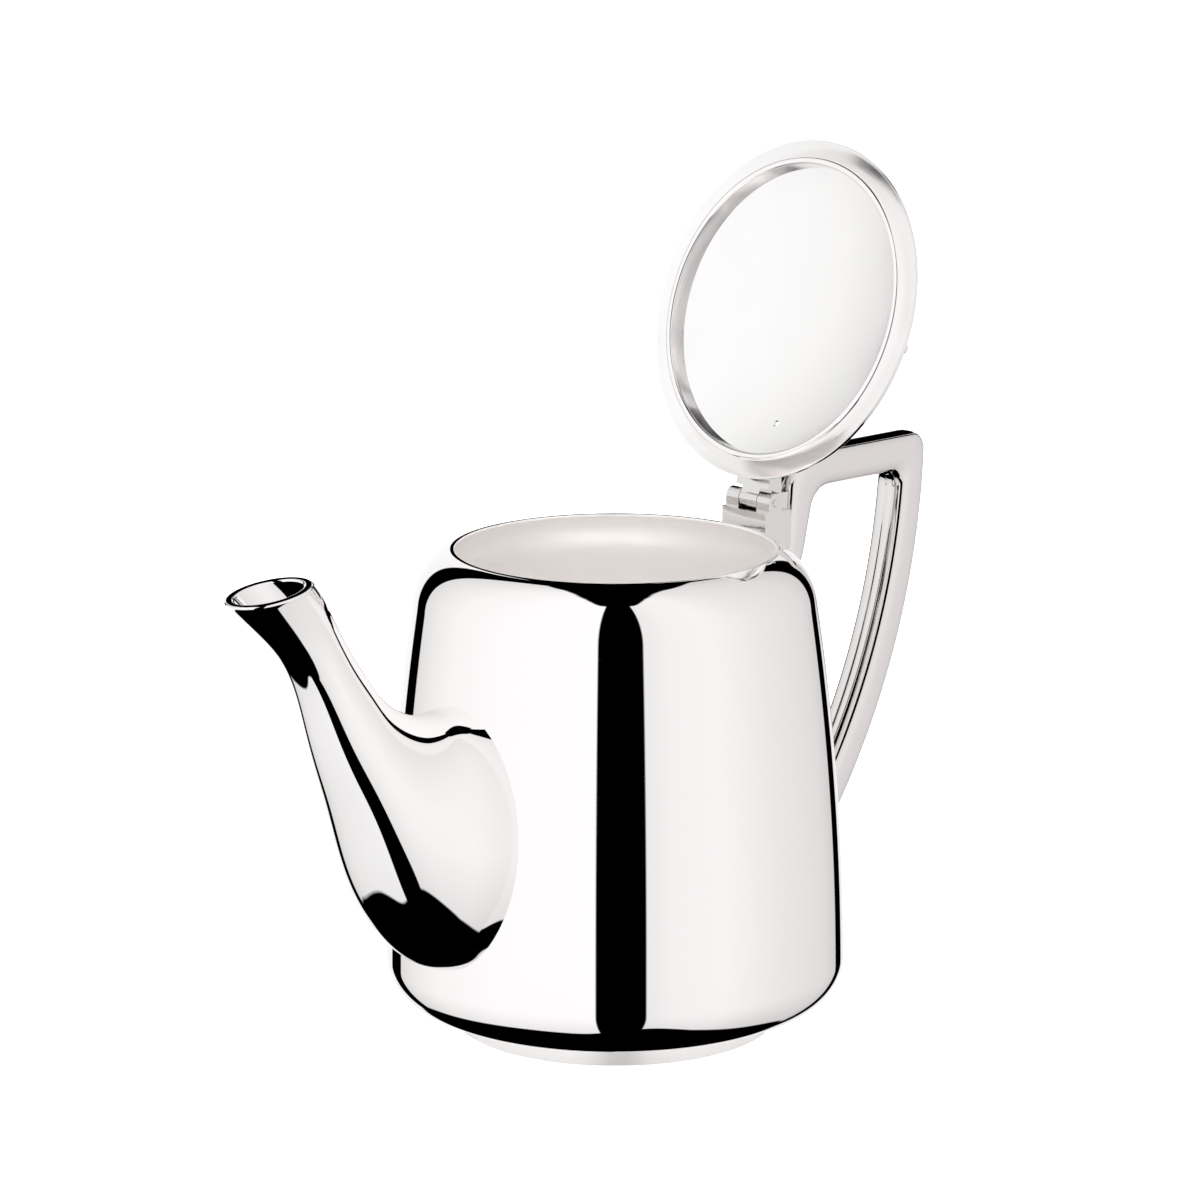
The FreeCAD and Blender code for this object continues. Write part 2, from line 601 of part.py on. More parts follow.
def make_lower_leaf(doc, s, envelope, handle_form):
    """Hinge block on the shoulder, with two knuckles and a stop at the handle."""
    body = add_body(doc, "hinge_block")
    x, z = s["lid_radius"] + s["hinge_setback"], s["rim_height"] + s["hinge_rise"]
    r, room = s["knuckle_radius"], s["knuckle_radius"] + s["turning_gap"]
    front, middle = x - s["leaf_front"], s["neck_bend_height"]
    neck = s["neck_bend_x"] + s["neck_bend_radius"]

    block = Outline(body, "XZ_Plane", "block_side")
    first = block.polygon([(front, middle), (neck - r / 2, middle), (neck - r / 2, z - r), (front, z - r)])
    for line, way in zip(range(first, first + 4), ("Horizontal", "Vertical") * 2):
        block.rule(way, line)
    block.place(first, START, f"{PIN_X} - sizes.leaf_front", "sizes.neck_bend_height")
    block.place(first + 2, START, "sizes.neck_bend_x + sizes.neck_bend_radius - sizes.knuckle_radius / 2",
                f"{PIN_Z} - sizes.knuckle_radius")
    pad(body, block, "block", "sizes.hinge_width")

    knuckle = Outline(body, "XZ_Plane", "knuckle_side")
    left = knuckle.line((x - r, z), (x - r, z - 1.5 * r))
    under = knuckle.line((x - r, z - 1.5 * r), (x + r, z - 1.5 * r))
    right = knuckle.line((x + r, z - 1.5 * r), (x + r, z))
    crown = knuckle.arc((x, z), r, 0, 180)
    knuckle.join(left, END, under, START)
    knuckle.join(under, END, right, START)
    knuckle.join(right, END, crown, START, smooth=True)
    knuckle.join(crown, END, left, START, smooth=True)
    knuckle.rule("Horizontal", under)
    knuckle.radius(crown, "sizes.knuckle_radius")
    knuckle.place(crown, MIDDLE, PIN_X, PIN_Z)
    knuckle.place(under, START, up=f"{PIN_Z} - 1.5 * sizes.knuckle_radius")
    pad(body, knuckle, "knuckles", "sizes.hinge_width")

    gap = Outline(body, "XZ_Plane", "knuckle_gap_side")
    first = gap.polygon([(x - room, z - r), (x + room, z - r), (x + room, z + room), (x - room, z + room)])
    for line, way in zip(range(first, first + 4), ("Horizontal", "Vertical") * 2):
        gap.rule(way, line)
    gap.place(first, START, f"{PIN_X} - sizes.knuckle_radius - sizes.turning_gap",
              f"{PIN_Z} - sizes.knuckle_radius")
    gap.place(first + 2, START, f"{PIN_X} + sizes.knuckle_radius + sizes.turning_gap",
              f"{PIN_Z} + sizes.knuckle_radius + sizes.turning_gap")
    pocket(body, gap, "middle_gap", "sizes.knuckle_width + 2 * sizes.knuckle_gap")

    groove = Outline(body, "XZ_Plane", "knuckle_groove_side")
    ring = groove.circle((x, z), room)
    groove.radius(ring, "sizes.knuckle_radius + sizes.turning_gap")
    groove.place(ring, MIDDLE, PIN_X, PIN_Z)
    pocket(body, groove, "middle_groove", "sizes.knuckle_width + 2 * sizes.knuckle_gap")

    stop = Outline(body, "XZ_Plane", "stop_side")
    heel = math.radians(angle_of((0, 0), (-s["heel_front"], s["heel_rise"])) - s["lid_open"])
    stop_z = z + math.hypot(s["heel_front"], s["heel_rise"]) * math.sin(heel) - s["turning_gap"]
    low, ledge, behind = middle - s["neck_bend_radius"], z - 2 * r, x + s["stop_back"]
    first = stop.polygon([(front, low), (neck + r, low), (neck + r, stop_z),
                          (behind, stop_z), (behind, ledge), (front, ledge)])
    for line, way in zip(range(first, first + 6), ("Horizontal", "Vertical") * 3):
        stop.rule(way, line)
    stop.place(first, START, f"{PIN_X} - sizes.leaf_front",
               "sizes.neck_bend_height - sizes.neck_bend_radius")
    stop.place(first + 1, START, across="sizes.neck_bend_x + sizes.neck_bend_radius + sizes.knuckle_radius")
    stop.place(first + 4, START, f"{PIN_X} + sizes.stop_back", f"{PIN_Z} - 2 * sizes.knuckle_radius")
    pad(body, stop, "stop", "sizes.stop_width")

    bore = Outline(body, "XZ_Plane", "block_bore")
    ring = bore.circle((x, z), s["pin_diameter"] / 2 + s["pin_seat"])
    bore.radius(ring, "sizes.pin_diameter / 2 + sizes.pin_seat")
    bore.place(ring, MIDDLE, PIN_X, PIN_Z)
    pocket(body, bore, "pin_bore", "2 * sizes.hinge_width")
    on_pot = cut(doc, "block_on_pot", body, envelope)
    return cut(doc, "hinge_lower_leaf", on_pot, handle_form)


def make_pin(doc, s):
    """Hinge pin with rounded ends."""
    body = add_body(doc, "hinge_pin")
    outline = Outline(body, "XZ_Plane", "pin_circle")
    x, z = s["lid_radius"] + s["hinge_setback"], s["rim_height"] + s["hinge_rise"]
    ring = outline.circle((x, z), s["pin_diameter"] / 2)
    outline.radius(ring, "sizes.pin_diameter / 2")
    outline.place(ring, MIDDLE, PIN_X, PIN_Z)
    pad(body, outline, "pin", "sizes.hinge_width + 2 * sizes.pin_proud")
    round_edges(doc, body, "pin_ends", "sizes.pin_round", lambda edge: edge.Closed)
    return body


def lid_centre(s, c):
    """Height of the lid dome's centre when the lid rests on rim and shoulder."""
    seats = [c["rim"], (s["lid_radius"], shoulder_height(s, c, s["lid_radius"]))]
    return max(z - math.sqrt(s["lid_dome_radius"] ** 2 - r ** 2) for r, z in seats) + s["lid_seat_gap"]


def dome_height(s, centre, radius, sheet=0.0):
    return centre + math.sqrt((s["lid_dome_radius"] + sheet) ** 2 - radius ** 2)


def make_lid_cover(doc, s, centre):
    """Spun lid dome with a rounded edge and a steam hole."""
    body = add_body(doc, "lid_cover")
    outline = Outline(body, "XZ_Plane", "lid_section")
    inner, outer = s["lid_dome_radius"], s["lid_dome_radius"] + s["lid_sheet"]
    edge = s["lid_radius"]
    over = outline.arc((0, centre), outer, math.degrees(math.acos(edge / outer)), 90)
    axis = outline.line((0, centre + outer), (0, centre + inner))
    under = outline.arc((0, centre), inner, math.degrees(math.acos(edge / inner)), 90)
    rim = outline.line((edge, dome_height(s, centre, edge)),
                       (edge, dome_height(s, centre, edge, s["lid_sheet"])))
    outline.join(over, END, axis, START)
    outline.join(axis, END, under, END)
    outline.join(under, START, rim, START)
    outline.join(rim, END, over, START)
    outline.rule("Vertical", rim)
    outline.radius(over, "sizes.lid_dome_radius + sizes.lid_sheet")
    outline.radius(under, "sizes.lid_dome_radius")
    outline.place(rim, START, across="sizes.lid_radius")
    outline.rule("Coincident", over, MIDDLE, under, MIDDLE)
    outline.rule("PointOnObject", over, MIDDLE, UPRIGHT_AXIS)
    outline.rule("PointOnObject", axis, START, UPRIGHT_AXIS)
    outline.rule("PointOnObject", axis, END, UPRIGHT_AXIS)
    outline.rule("DistanceY", ORIGIN, START, over, MIDDLE, centre)
    revolve(body, outline, "lid_turn")
    round_edges(doc, body, "lid_rounding", "sizes.lid_sheet * 0.4",
                lambda e: e.Closed and e.BoundBox.XMax > edge - s["lid_sheet"] / 10)
    hole = Outline(body, "XY_Plane", "steam_hole")
    ring = hole.circle((s["vent_reach"], 0), s["vent_hole"] / 2)
    hole.radius(ring, "sizes.vent_hole / 2")
    hole.rule("PointOnObject", ring, MIDDLE, ORIGIN)
    hole.place(ring, MIDDLE, across="sizes.vent_reach")
    doc.recompute()
    before = body.Shape.Volume
    pocket(body, hole, "steam_hole_cut", "sizes.rim_height + sizes.lid_radius",
           midplane=False, reverse=True)
    doc.recompute()
    if body.Shape.Volume >= before:
        raise RuntimeError("steam hole missed the lid")
    return body


def make_bezel(doc, s, centre):
    """Ring under the lid that locates it in the mouth, with a full round edge."""
    body = add_body(doc, "lid_bezel")
    outline = Outline(body, "XZ_Plane", "bezel_section")
    outer = s["opening_radius"] - s["bezel_clearance"]
    inner = outer - s["bezel_thickness"]
    half = s["bezel_thickness"] / 2
    low = dome_height(s, centre, s["lid_radius"]) - s["bezel_drop"] + half
    dome = s["lid_dome_radius"]
    out_line = outline.line((outer, low), (outer, dome_height(s, centre, outer)))
    top = outline.arc((0, centre), dome, math.degrees(math.acos(outer / dome)),
                      math.degrees(math.acos(inner / dome)))
    in_line = outline.line((inner, dome_height(s, centre, inner)), (inner, low))
    edge = outline.arc(((outer + inner) / 2, low), half, 180, 360)
    outline.join(out_line, END, top, START)
    outline.join(top, END, in_line, START)
    outline.join(in_line, END, edge, START, smooth=True)
    outline.join(edge, END, out_line, START, smooth=True)
    outline.radius(top, "sizes.lid_dome_radius")
    outline.radius(edge, "sizes.bezel_thickness / 2")
    outline.rule("PointOnObject", top, MIDDLE, UPRIGHT_AXIS)
    outline.rule("DistanceY", ORIGIN, START, top, MIDDLE, centre)
    outline.rule("Vertical", out_line)
    outline.place(out_line, START, across="sizes.opening_radius - sizes.bezel_clearance")
    outline.rule("DistanceY", ORIGIN, START, edge, MIDDLE, low)
    revolve(body, outline, "bezel_turn")
    return body


def make_knob(doc, s, centre):
    """Turned knob seated on the dome: foot, waist, bulb and ball tip."""
    body = add_body(doc, "lid_knob")
    o = Outline(body, "XZ_Plane", "knob_section")
    dome = s["lid_dome_radius"] + s["lid_sheet"]
    top = centre + dome
    foot, step, tip = s["knob_foot_radius"], s["knob_step"], s["knob_tip_radius"]
    ledge = (foot - step, top + s["knob_foot_height"])
    neck = (s["knob_neck_radius"], top + s["knob_neck_height"])
    collar = (s["knob_collar_radius"], top + s["knob_collar_height"])
    cove_middle = ((ledge[0] + 3 * neck[0]) / 4, (3 * ledge[1] + 2 * neck[1]) / 5)
    bulb_middle = (s["knob_bulb_radius"], (neck[1] + collar[1]) / 2)
    ball_z = top + s["knob_height"] - tip
    ball_start = math.degrees(math.asin(collar[0] / tip)) - 90
    ball_low = ball_z + tip * math.sin(math.radians(ball_start))
    seat = o.arc((0, centre), dome, math.degrees(math.acos(foot / dome)), 90)
    edge = o.line((foot, dome_height(s, centre, foot, s["lid_sheet"])), (foot, ledge[1] - step))
    bevel = o.arc((ledge[0], ledge[1] - step), step, 0, 90)
    cove, cove_first = o.arc_through(ledge, cove_middle, neck)
    bulb_arc = Part.Arc(V(*neck, 0), V(*bulb_middle, 0), V(*collar, 0))
    bulb = o.spline([(p.x, p.y) for p in bulb_arc.discretize(9)])
    throat = o.line(collar, (collar[0], ball_low))
    ball = o.arc((0, ball_z), tip, ball_start, 90)
    axis = o.line((0, ball_z + tip), (0, top))
    other = {START: END, END: START}
    o.join(seat, START, edge, START)
    o.join(edge, END, bevel, START, smooth=True)
    o.join(bevel, END, cove, cove_first)
    o.join(cove, other[cove_first], bulb, START)
    o.join(bulb, END, throat, START)
    o.join(throat, END, ball, START)
    o.join(ball, END, axis, START)
    o.join(axis, END, seat, END)
    o.rule("PointOnObject", seat, MIDDLE, UPRIGHT_AXIS)
    o.rule("PointOnObject", ball, MIDDLE, UPRIGHT_AXIS)
    o.rule("PointOnObject", axis, START, UPRIGHT_AXIS)
    o.rule("PointOnObject", axis, END, UPRIGHT_AXIS)
    o.rule("Vertical", edge)
    o.rule("Vertical", throat)
    o.radius(seat, "sizes.lid_dome_radius + sizes.lid_sheet")
    o.radius(bevel, "sizes.knob_step")
    o.radius(ball, "sizes.knob_tip_radius")
    o.place(edge, START, across="sizes.knob_foot_radius")
    o.place(throat, START, across="sizes.knob_collar_radius")
    o.place(cove, other[cove_first], across="sizes.knob_neck_radius")
    for geometry, end, rise in ((bevel, END, "knob_foot_height"), (throat, START, "knob_collar_height"),
                                (ball, END, "knob_height"), (cove, other[cove_first], "knob_neck_height")):
        height = o.sketch.getPoint(geometry, end).y - top
        o.size("DistanceY", f"sizes.{rise}", height, seat, END, geometry, end)
    o.rule("DistanceY", ORIGIN, START, seat, MIDDLE, centre)
    revolve(body, o, "knob_turn")
    return body


def make_upper_leaf(doc, s, centre):
    """Cast leaf on the dome with the middle knuckle; its heel meets the stop."""
    body = add_body(doc, "leaf_form")
    x, z = s["lid_radius"] + s["hinge_setback"], s["rim_height"] + s["hinge_rise"]
    r = s["knuckle_radius"]
    heel, reach, rise = s["heel_front"], s["leaf_reach"], s["heel_rise"]
    back, under, deep = heel + r, r - s["turning_gap"], 3 * r

    plate = Outline(body, "XZ_Plane", "leaf_side")
    first = plate.polygon([(x - heel, z + rise), (x - reach, z + s["leaf_toe"]), (x - reach, z - deep),
                           (x - back, z - deep), (x - back, z - under), (x - heel, z - under)])
    plate.rule("Vertical", first + 1)
    plate.rule("Horizontal", first + 2)
    plate.rule("Vertical", first + 3)
    plate.rule("Horizontal", first + 4)
    plate.rule("Vertical", first + 5)
    plate.place(first, START, f"{PIN_X} - sizes.heel_front", f"{PIN_Z} + sizes.heel_rise")
    plate.place(first + 1, START, f"{PIN_X} - sizes.leaf_reach", f"{PIN_Z} + sizes.leaf_toe")
    plate.place(first + 3, START, f"{PIN_X} - sizes.heel_front - sizes.knuckle_radius",
                f"{PIN_Z} - 3 * sizes.knuckle_radius")
    plate.place(first + 5, START, up=f"{PIN_Z} - sizes.knuckle_radius + sizes.turning_gap")
    pad(body, plate, "leaf", "sizes.leaf_width")

    arm = Outline(body, "XZ_Plane", "arm_side")
    first = arm.polygon([(x - reach / 2, z - under), (x, z - under), (x, z + r), (x - reach / 2, z + r)])
    for line, way in zip(range(first, first + 4), ("Horizontal", "Vertical") * 2):
        arm.rule(way, line)
    arm.place(first, START, f"{PIN_X} - sizes.leaf_reach / 2",
              f"{PIN_Z} - sizes.knuckle_radius + sizes.turning_gap")
    arm.place(first + 2, START, PIN_X, f"{PIN_Z} + sizes.knuckle_radius")
    pad(body, arm, "arm", "sizes.knuckle_width")

    ring = Outline(body, "XZ_Plane", "ring_side")
    circle = ring.circle((x, z), r)
    ring.radius(circle, "sizes.knuckle_radius")
    ring.place(circle, MIDDLE, PIN_X, PIN_Z)
    pad(body, ring, "ring", "sizes.knuckle_width")

    bore = Outline(body, "XZ_Plane", "ring_bore")
    circle = bore.circle((x, z), s["pin_diameter"] / 2 + s["pin_play"])
    bore.radius(circle, "sizes.pin_diameter / 2 + sizes.pin_play")
    bore.place(circle, MIDDLE, PIN_X, PIN_Z)
    pocket(body, bore, "ring_bore_cut", "2 * sizes.leaf_width")

    dome = doc.addObject("Part::Sphere", "dome_form")
    dome.setExpression("Radius", "sizes.lid_dome_radius + sizes.lid_sheet")
    dome.Placement = FreeCAD.Placement(V(0, 0, centre), FreeCAD.Rotation())
    return cut(doc, "hinge_upper_leaf", body, dome)


def left_side(doc, name, whole, s):
    """Keep the half of a shell left of the mirror plane."""
    size = 4 * s["rim_height"]
    box = doc.addObject("Part::Box", f"{name}_other_side")
    for edge in ("Length", "Width", "Height"):
        box.setExpression(edge, "4 * sizes.rim_height")
    box.Placement = FreeCAD.Placement(V(-size / 2, 0, -size / 4), FreeCAD.Rotation())
    return cut(doc, name, whole, box)


def mirrored(doc, name, left):
    """The opposite stamping of a pair."""
    feature = doc.addObject("Part::Mirroring", name)
    feature.Source = left
    feature.Normal = V(0, 1, 0)
    return feature


def main():
    doc = FreeCAD.newDocument("teapot")
    s = fill_sheet(doc)
    circles = pot_circles(s)
    centre = lid_centre(s, circles)
    envelope = make_envelope(doc, s, circles)
    handle_form, handle_tube = make_handle(doc, s)
    spout = cut(doc, "spout_left_half", make_spout_half(doc, s), envelope)
    handle = left_side(doc, "handle_left_half", cut(doc, "handle_on_pot", handle_tube, envelope), s)
    pot = [make_body_shell(doc, s, circles), make_foot_ring(doc, s)]
    pot += [spout, mirrored(doc, "spout_right_half", spout)]
    pot += [handle, mirrored(doc, "handle_right_half", handle)]
    pot += [make_lower_leaf(doc, s, envelope, handle_form), make_pin(doc, s)]
    lid = [make_upper_leaf(doc, s, centre), make_lid_cover(doc, s, centre)]
    lid += [make_bezel(doc, s, centre), make_knob(doc, s, centre)]

    pin = V(s["lid_radius"] + s["hinge_setback"], 0, s["rim_height"] + s["hinge_rise"])
    opened = FreeCAD.Placement(V(0, 0, 0), FreeCAD.Rotation(V(0, 1, 0), s["lid_open"]), pin)
    for node in pot:
        node.Placement = FreeCAD.Placement()
    for node in lid:
        node.Placement = opened
    doc.recompute()
    for item in doc.Objects:
        if "Invalid" in item.State or "Error" in item.State:
            raise RuntimeError(f"{item.Name} did not recompute")

    os.makedirs("parts", exist_ok=True)
    for node in pot + lid:
        node.Label = node.Name
        if node.Shape.isNull() or not node.Shape.isValid():
            raise RuntimeError(f"{node.Label} has no valid shape")
        node.Shape.exportStep(f"parts/{node.Label}.step")
        print(node.Label, len(node.Shape.Solids), round(node.Shape.Volume, 1))


main()
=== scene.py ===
"""Dress the hinged silver teapot: smooth plated skins, a studio of two large softboxes and the camera."""

import logging
import math
from dataclasses import dataclass, field
from enum import Enum
from typing import Any

import bmesh
import bpy
import numpy as np
from bpy.types import Material, Node, NodeSocket, NodeTree, Object
from mathutils import Matrix, Vector

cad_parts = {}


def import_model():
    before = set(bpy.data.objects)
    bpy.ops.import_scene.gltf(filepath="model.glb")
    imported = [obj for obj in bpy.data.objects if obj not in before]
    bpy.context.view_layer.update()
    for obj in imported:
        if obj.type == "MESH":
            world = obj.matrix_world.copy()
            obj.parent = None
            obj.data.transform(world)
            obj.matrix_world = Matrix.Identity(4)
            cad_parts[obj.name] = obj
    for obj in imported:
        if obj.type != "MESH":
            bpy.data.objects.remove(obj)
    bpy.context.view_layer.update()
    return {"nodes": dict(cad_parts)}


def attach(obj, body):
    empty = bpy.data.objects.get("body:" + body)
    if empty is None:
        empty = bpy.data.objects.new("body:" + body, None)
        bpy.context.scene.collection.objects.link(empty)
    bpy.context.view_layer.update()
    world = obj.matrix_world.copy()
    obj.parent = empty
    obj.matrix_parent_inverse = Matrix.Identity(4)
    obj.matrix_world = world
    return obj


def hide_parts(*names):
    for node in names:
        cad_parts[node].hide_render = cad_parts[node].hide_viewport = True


LOG = logging.getLogger("teapot")
MM = 0.001
MERGE_DISTANCE = 0.002 * MM
SHARP_ANGLE = math.radians(28)
# Noise seldom leaves this range, so this is what spreads over the whole wander of a finish.
NOISE_LOW, NOISE_HIGH = 0.3, 0.7
# Colour sockets of a mix node.
MIX_A, MIX_B, MIX_RESULT = 6, 7, 2
Point = tuple[float, float]
Colour = tuple[float, float, float, float]


class Body(Enum):
    """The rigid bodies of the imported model."""

    POT = "pot"
    LID = "lid"


class Slot(Enum):
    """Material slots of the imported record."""

    POLISHED = "polished_silver"
    SATIN = "satin_silver"


def linear(code: str) -> Colour:
    """Turn an sRGB hex colour into linear light.

    Args:
        code: Six hex digits.

    Returns:
        Linear red, green, blue and an alpha of one.
    """
    parts = [int(code[i:i + 2], 16) / 255 for i in (0, 2, 4)]
    light = [c / 12.92 if c <= 0.04045 else ((c + 0.055) / 1.055) ** 2.4 for c in parts]
    return light[0], light[1], light[2], 1.0


def add_node(tree: NodeTree, kind: str, settings: dict[str, Any] | None = None,
             inputs: dict[Any, Any] | None = None) -> Node:
    """Add one shader node.

    Args:
        tree: Node tree that gets the node.
        kind: Blender's type name of the node.
        settings: Properties to set on the node.
        inputs: Values or output sockets for its inputs, by name or number.

    Returns:
        The new node.
    """
    node = tree.nodes.new(kind)
    for name, value in (settings or {}).items():
        setattr(node, name, value)
    for key, value in (inputs or {}).items():
        if isinstance(value, NodeSocket):
            tree.links.new(value, node.inputs[key])
        else:
            node.inputs[key].default_value = value
    return node


def calculate(tree: NodeTree, operation: str, *values: Any, clamp: bool = False) -> NodeSocket:
    """Add one math node.

    Args:
        tree: Node tree that gets the node.
        operation: Blender's name of the operation.
        values: Numbers or output sockets for its inputs, in order.
        clamp: Whether the result is kept between 0 and 1.

    Returns:
        The result.
    """
    return add_node(tree, "ShaderNodeMath", {"operation": operation, "use_clamp": clamp},
                    dict(enumerate(values))).outputs[0]


def multiply(tree: NodeTree, colour: NodeSocket, factor: NodeSocket) -> NodeSocket:
    """Scale a colour.

    Args:
        tree: Node tree that gets the node.
        colour: The colour.
        factor: What it is multiplied by.

    Returns:
        The product.
    """
    return add_node(tree, "ShaderNodeMix", {"data_type": "RGBA", "blend_type": "MULTIPLY"},
                    {"Factor": 1.0, MIX_A: colour, MIX_B: factor}).outputs[MIX_RESULT]


def noise(tree: NodeTree, place: NodeSocket, size: float, detail: float,
          dimensions: str = "3D") -> NodeSocket:
    """Add one noise texture.

    Args:
        tree: Node tree that gets the node.
        place: Coordinates in metres.
        size: Size of the pattern in millimetres.
        detail: Number of finer layers.
        dimensions: Blender's name of the noise's dimensions.

    Returns:
        The noise.
    """
    return add_node(tree, "ShaderNodeTexNoise", {"noise_dimensions": dimensions},
                    {"Vector": place, "Scale": 1 / (size * MM), "Detail": detail}).outputs["Fac"]


def ramp_round(tree: NodeTree, part: NodeSocket, stops: list[tuple[float, Colour]],
               interpolation: str = "LINEAR") -> NodeSocket:
    """Add a colour ramp that runs round the compass.

    Args:
        tree: Node tree that gets the node.
        part: Part of the full turn, from 0 to 1.
        stops: Degrees from -180 to 180 and linear colours.
        interpolation: Blender's name of the way between stops.

    Returns:
        The colour.
    """
    node = add_node(tree, "ShaderNodeValToRGB", inputs={"Fac": part})
    node.color_ramp.interpolation = interpolation
    band = node.color_ramp.elements
    while len(band) > 1:
        band.remove(band[-1])
    places = [(degrees + 180) / 360 for degrees, _ in stops]
    band[0].position, band[0].color = places[0], stops[0][1]
    for place, (_, colour) in zip(places[1:], stops[1:]):
        band.new(place).color = colour
    return node.outputs["Color"]


@dataclass(frozen=True)
class SilverFinish:
    """Electroplated silver; the last tool on it decides how sharply it mirrors.

    Attributes:
        name: Name of the material.
        colour: sRGB hex of the plated metal.
        roughness: Typical roughness of the finish.
        wander: How far handling marks move the roughness.
        mark_size: Size of the handling marks in millimetres.
        line_pitch: Spacing of turning lines in millimetres, none if 0. Real lines are about
            0.1 mm apart and too fine to show, so they are drawn coarser.
        grain_size: Size of casting grain in millimetres, none if 0.
        relief: Height of lines or grain in millimetres.
        metal: Share of bare metal; less where the plate is frosted white.
    """

    name: str
    colour: str
    roughness: float
    wander: float
    mark_size: float
    line_pitch: float = 0.0
    grain_size: float = 0.0
    relief: float = 0.0
    metal: float = 1.0

    def build(self) -> Material:
        """Make the material.

        Returns:
            A metal with uneven gloss and, where the finish has them, lines or grain.
        """
        material = bpy.data.materials.new(self.name)
        material.use_nodes = True
        tree = material.node_tree
        shader = tree.nodes["Principled BSDF"]
        shader.inputs["Base Color"].default_value = linear(self.colour)
        shader.inputs["Metallic"].default_value = self.metal
        place = add_node(tree, "ShaderNodeTexCoord").outputs["Object"]
        gloss = add_node(tree, "ShaderNodeMapRange", inputs={
            "Value": noise(tree, place, self.mark_size, detail=4.0),
            "From Min": NOISE_LOW, "From Max": NOISE_HIGH,
            "To Min": max(self.roughness - self.wander, 0.0), "To Max": self.roughness + self.wander})
        tree.links.new(gloss.outputs["Result"], shader.inputs["Roughness"])
        height = self.height_socket(tree, place)
        if height:
            bump = add_node(tree, "ShaderNodeBump", inputs={
                "Height": height, "Distance": self.relief * MM, "Strength": 1.0})
            tree.links.new(bump.outputs["Normal"], shader.inputs["Normal"])
        return material

    def height_socket(self, tree: NodeTree, place: NodeSocket) -> NodeSocket | None:
        """Add the nodes of the surface relief.

        Args:
            tree: Node tree of the material.
            place: Object coordinates.

        Returns:
            The height, or None for a plain polish.
        """
        if self.grain_size:
            return noise(tree, place, self.grain_size, detail=3.0)
        if self.line_pitch:
            axes = add_node(tree, "ShaderNodeSeparateXYZ", inputs={0: place})
            flat = add_node(tree, "ShaderNodeCombineXYZ", inputs={
                0: axes.outputs["X"], 1: axes.outputs["Y"]})
            reach = add_node(tree, "ShaderNodeVectorMath", {"operation": "LENGTH"}, {0: flat.outputs[0]})
            across = add_node(tree, "ShaderNodeCombineXYZ", inputs={
                0: reach.outputs["Value"], 1: axes.outputs["Z"]})
            return noise(tree, across.outputs[0], self.line_pitch, detail=2.0, dimensions="2D")
        return None


# Buffed plate mirrors the studio almost sharply; fingers leave faint dull patches.
BUFFED = SilverFinish("buffed_silver_plate", "FCFAFA", 0.018, 0.008, 18.0)
# The handle is polished by hand, less sharply than the pot.
HANDLED = SilverFinish("hand_polished_silver_plate", "E9E6E5", 0.05, 0.02, 14.0)
# Plate left from the lathe spreads the light along fine rings.
TURNED = SilverFinish("turned_silver_plate", "FCFBFB", 0.20, 0.05, 9.0, line_pitch=1.1, relief=0.008)
# Plate left as it came from the bath is white and frosty, with faint turning lines under it.
FROSTED = SilverFinish("frosted_silver_plate", "F7F5F4", 0.33, 0.05, 12.0, line_pitch=1.3, relief=0.025,
                       metal=0.4)
# Cast and filed plate is a little grainy.
FILED = SilverFinish("filed_silver_casting", "E4E2E1", 0.12, 0.05, 4.0, grain_size=0.9, relief=0.015)


def arc(centre: Point, radius: float, first: float, last: float, steps: int = 24) -> list[Point]:
    """Points along an arc of a section.

    Args:
        centre: Centre as radius and height.
        radius: Radius of the arc.
        first: Start angle in degrees.
        last: End angle in degrees.
        steps: Number of chords.

    Returns:
        Points from the start to the end.
    """
    angles = [math.radians(first + (last - first) * i / steps) for i in range(steps + 1)]
    return [(centre[0] + radius * math.cos(a), centre[1] + radius * math.sin(a)) for a in angles]


def angle_of(start: Point, end: Point) -> float:
    """Direction from one point to another in degrees."""
    return math.degrees(math.atan2(end[1] - start[1], end[0] - start[0]))


def arc_through(start: Point, middle: Point, end: Point) -> list[Point]:
    """Points along the arc through three points.

    Args:
        start: First end.
        middle: Any point between the ends.
        end: Other end.

    Returns:
        Points from the start to the end.
    """
    (ax, ay), (bx, by), (cx, cy) = start, middle, end
    d = 2 * (ax * (by - cy) + bx * (cy - ay) + cx * (ay - by))
    a2, b2, c2 = ax * ax + ay * ay, bx * bx + by * by, cx * cx + cy * cy
    centre = ((a2 * (by - cy) + b2 * (cy - ay) + c2 * (ay - by)) / d,
              (a2 * (cx - bx) + b2 * (ax - cx) + c2 * (bx - ax)) / d)
    first, via, last = (angle_of(centre, p) for p in (start, middle, end))
    sweep, half = (last - first) % 360, (via - first) % 360
    if half > sweep:
        sweep -= 360
    return arc(centre, math.dist(centre, start), first, first + sweep)


def on_axis(section: list[Point]) -> list[Point]:
    """Put the ends of a section exactly on the axis."""
    return [(0.0, section[0][1]), *section[1:-1], (0.0, section[-1][1])]


def rounded(start: Point, corner: Point, end: Point, steps: int = 6) -> list[Point]:
    """Points of a soft corner between two points.

    Args:
        start: First end.
        corner: The sharp corner.
        end: Other end.
        steps: Number of chords.

    Returns:
        Points between the ends.
    """
    run = []
    for i in range(1, steps):
        t = i / steps
        run.append(tuple((1 - t) ** 2 * a + 2 * t * (1 - t) * b + t ** 2 * c
                         for a, b, c in zip(start, corner, end)))
    return [start, *run, end]


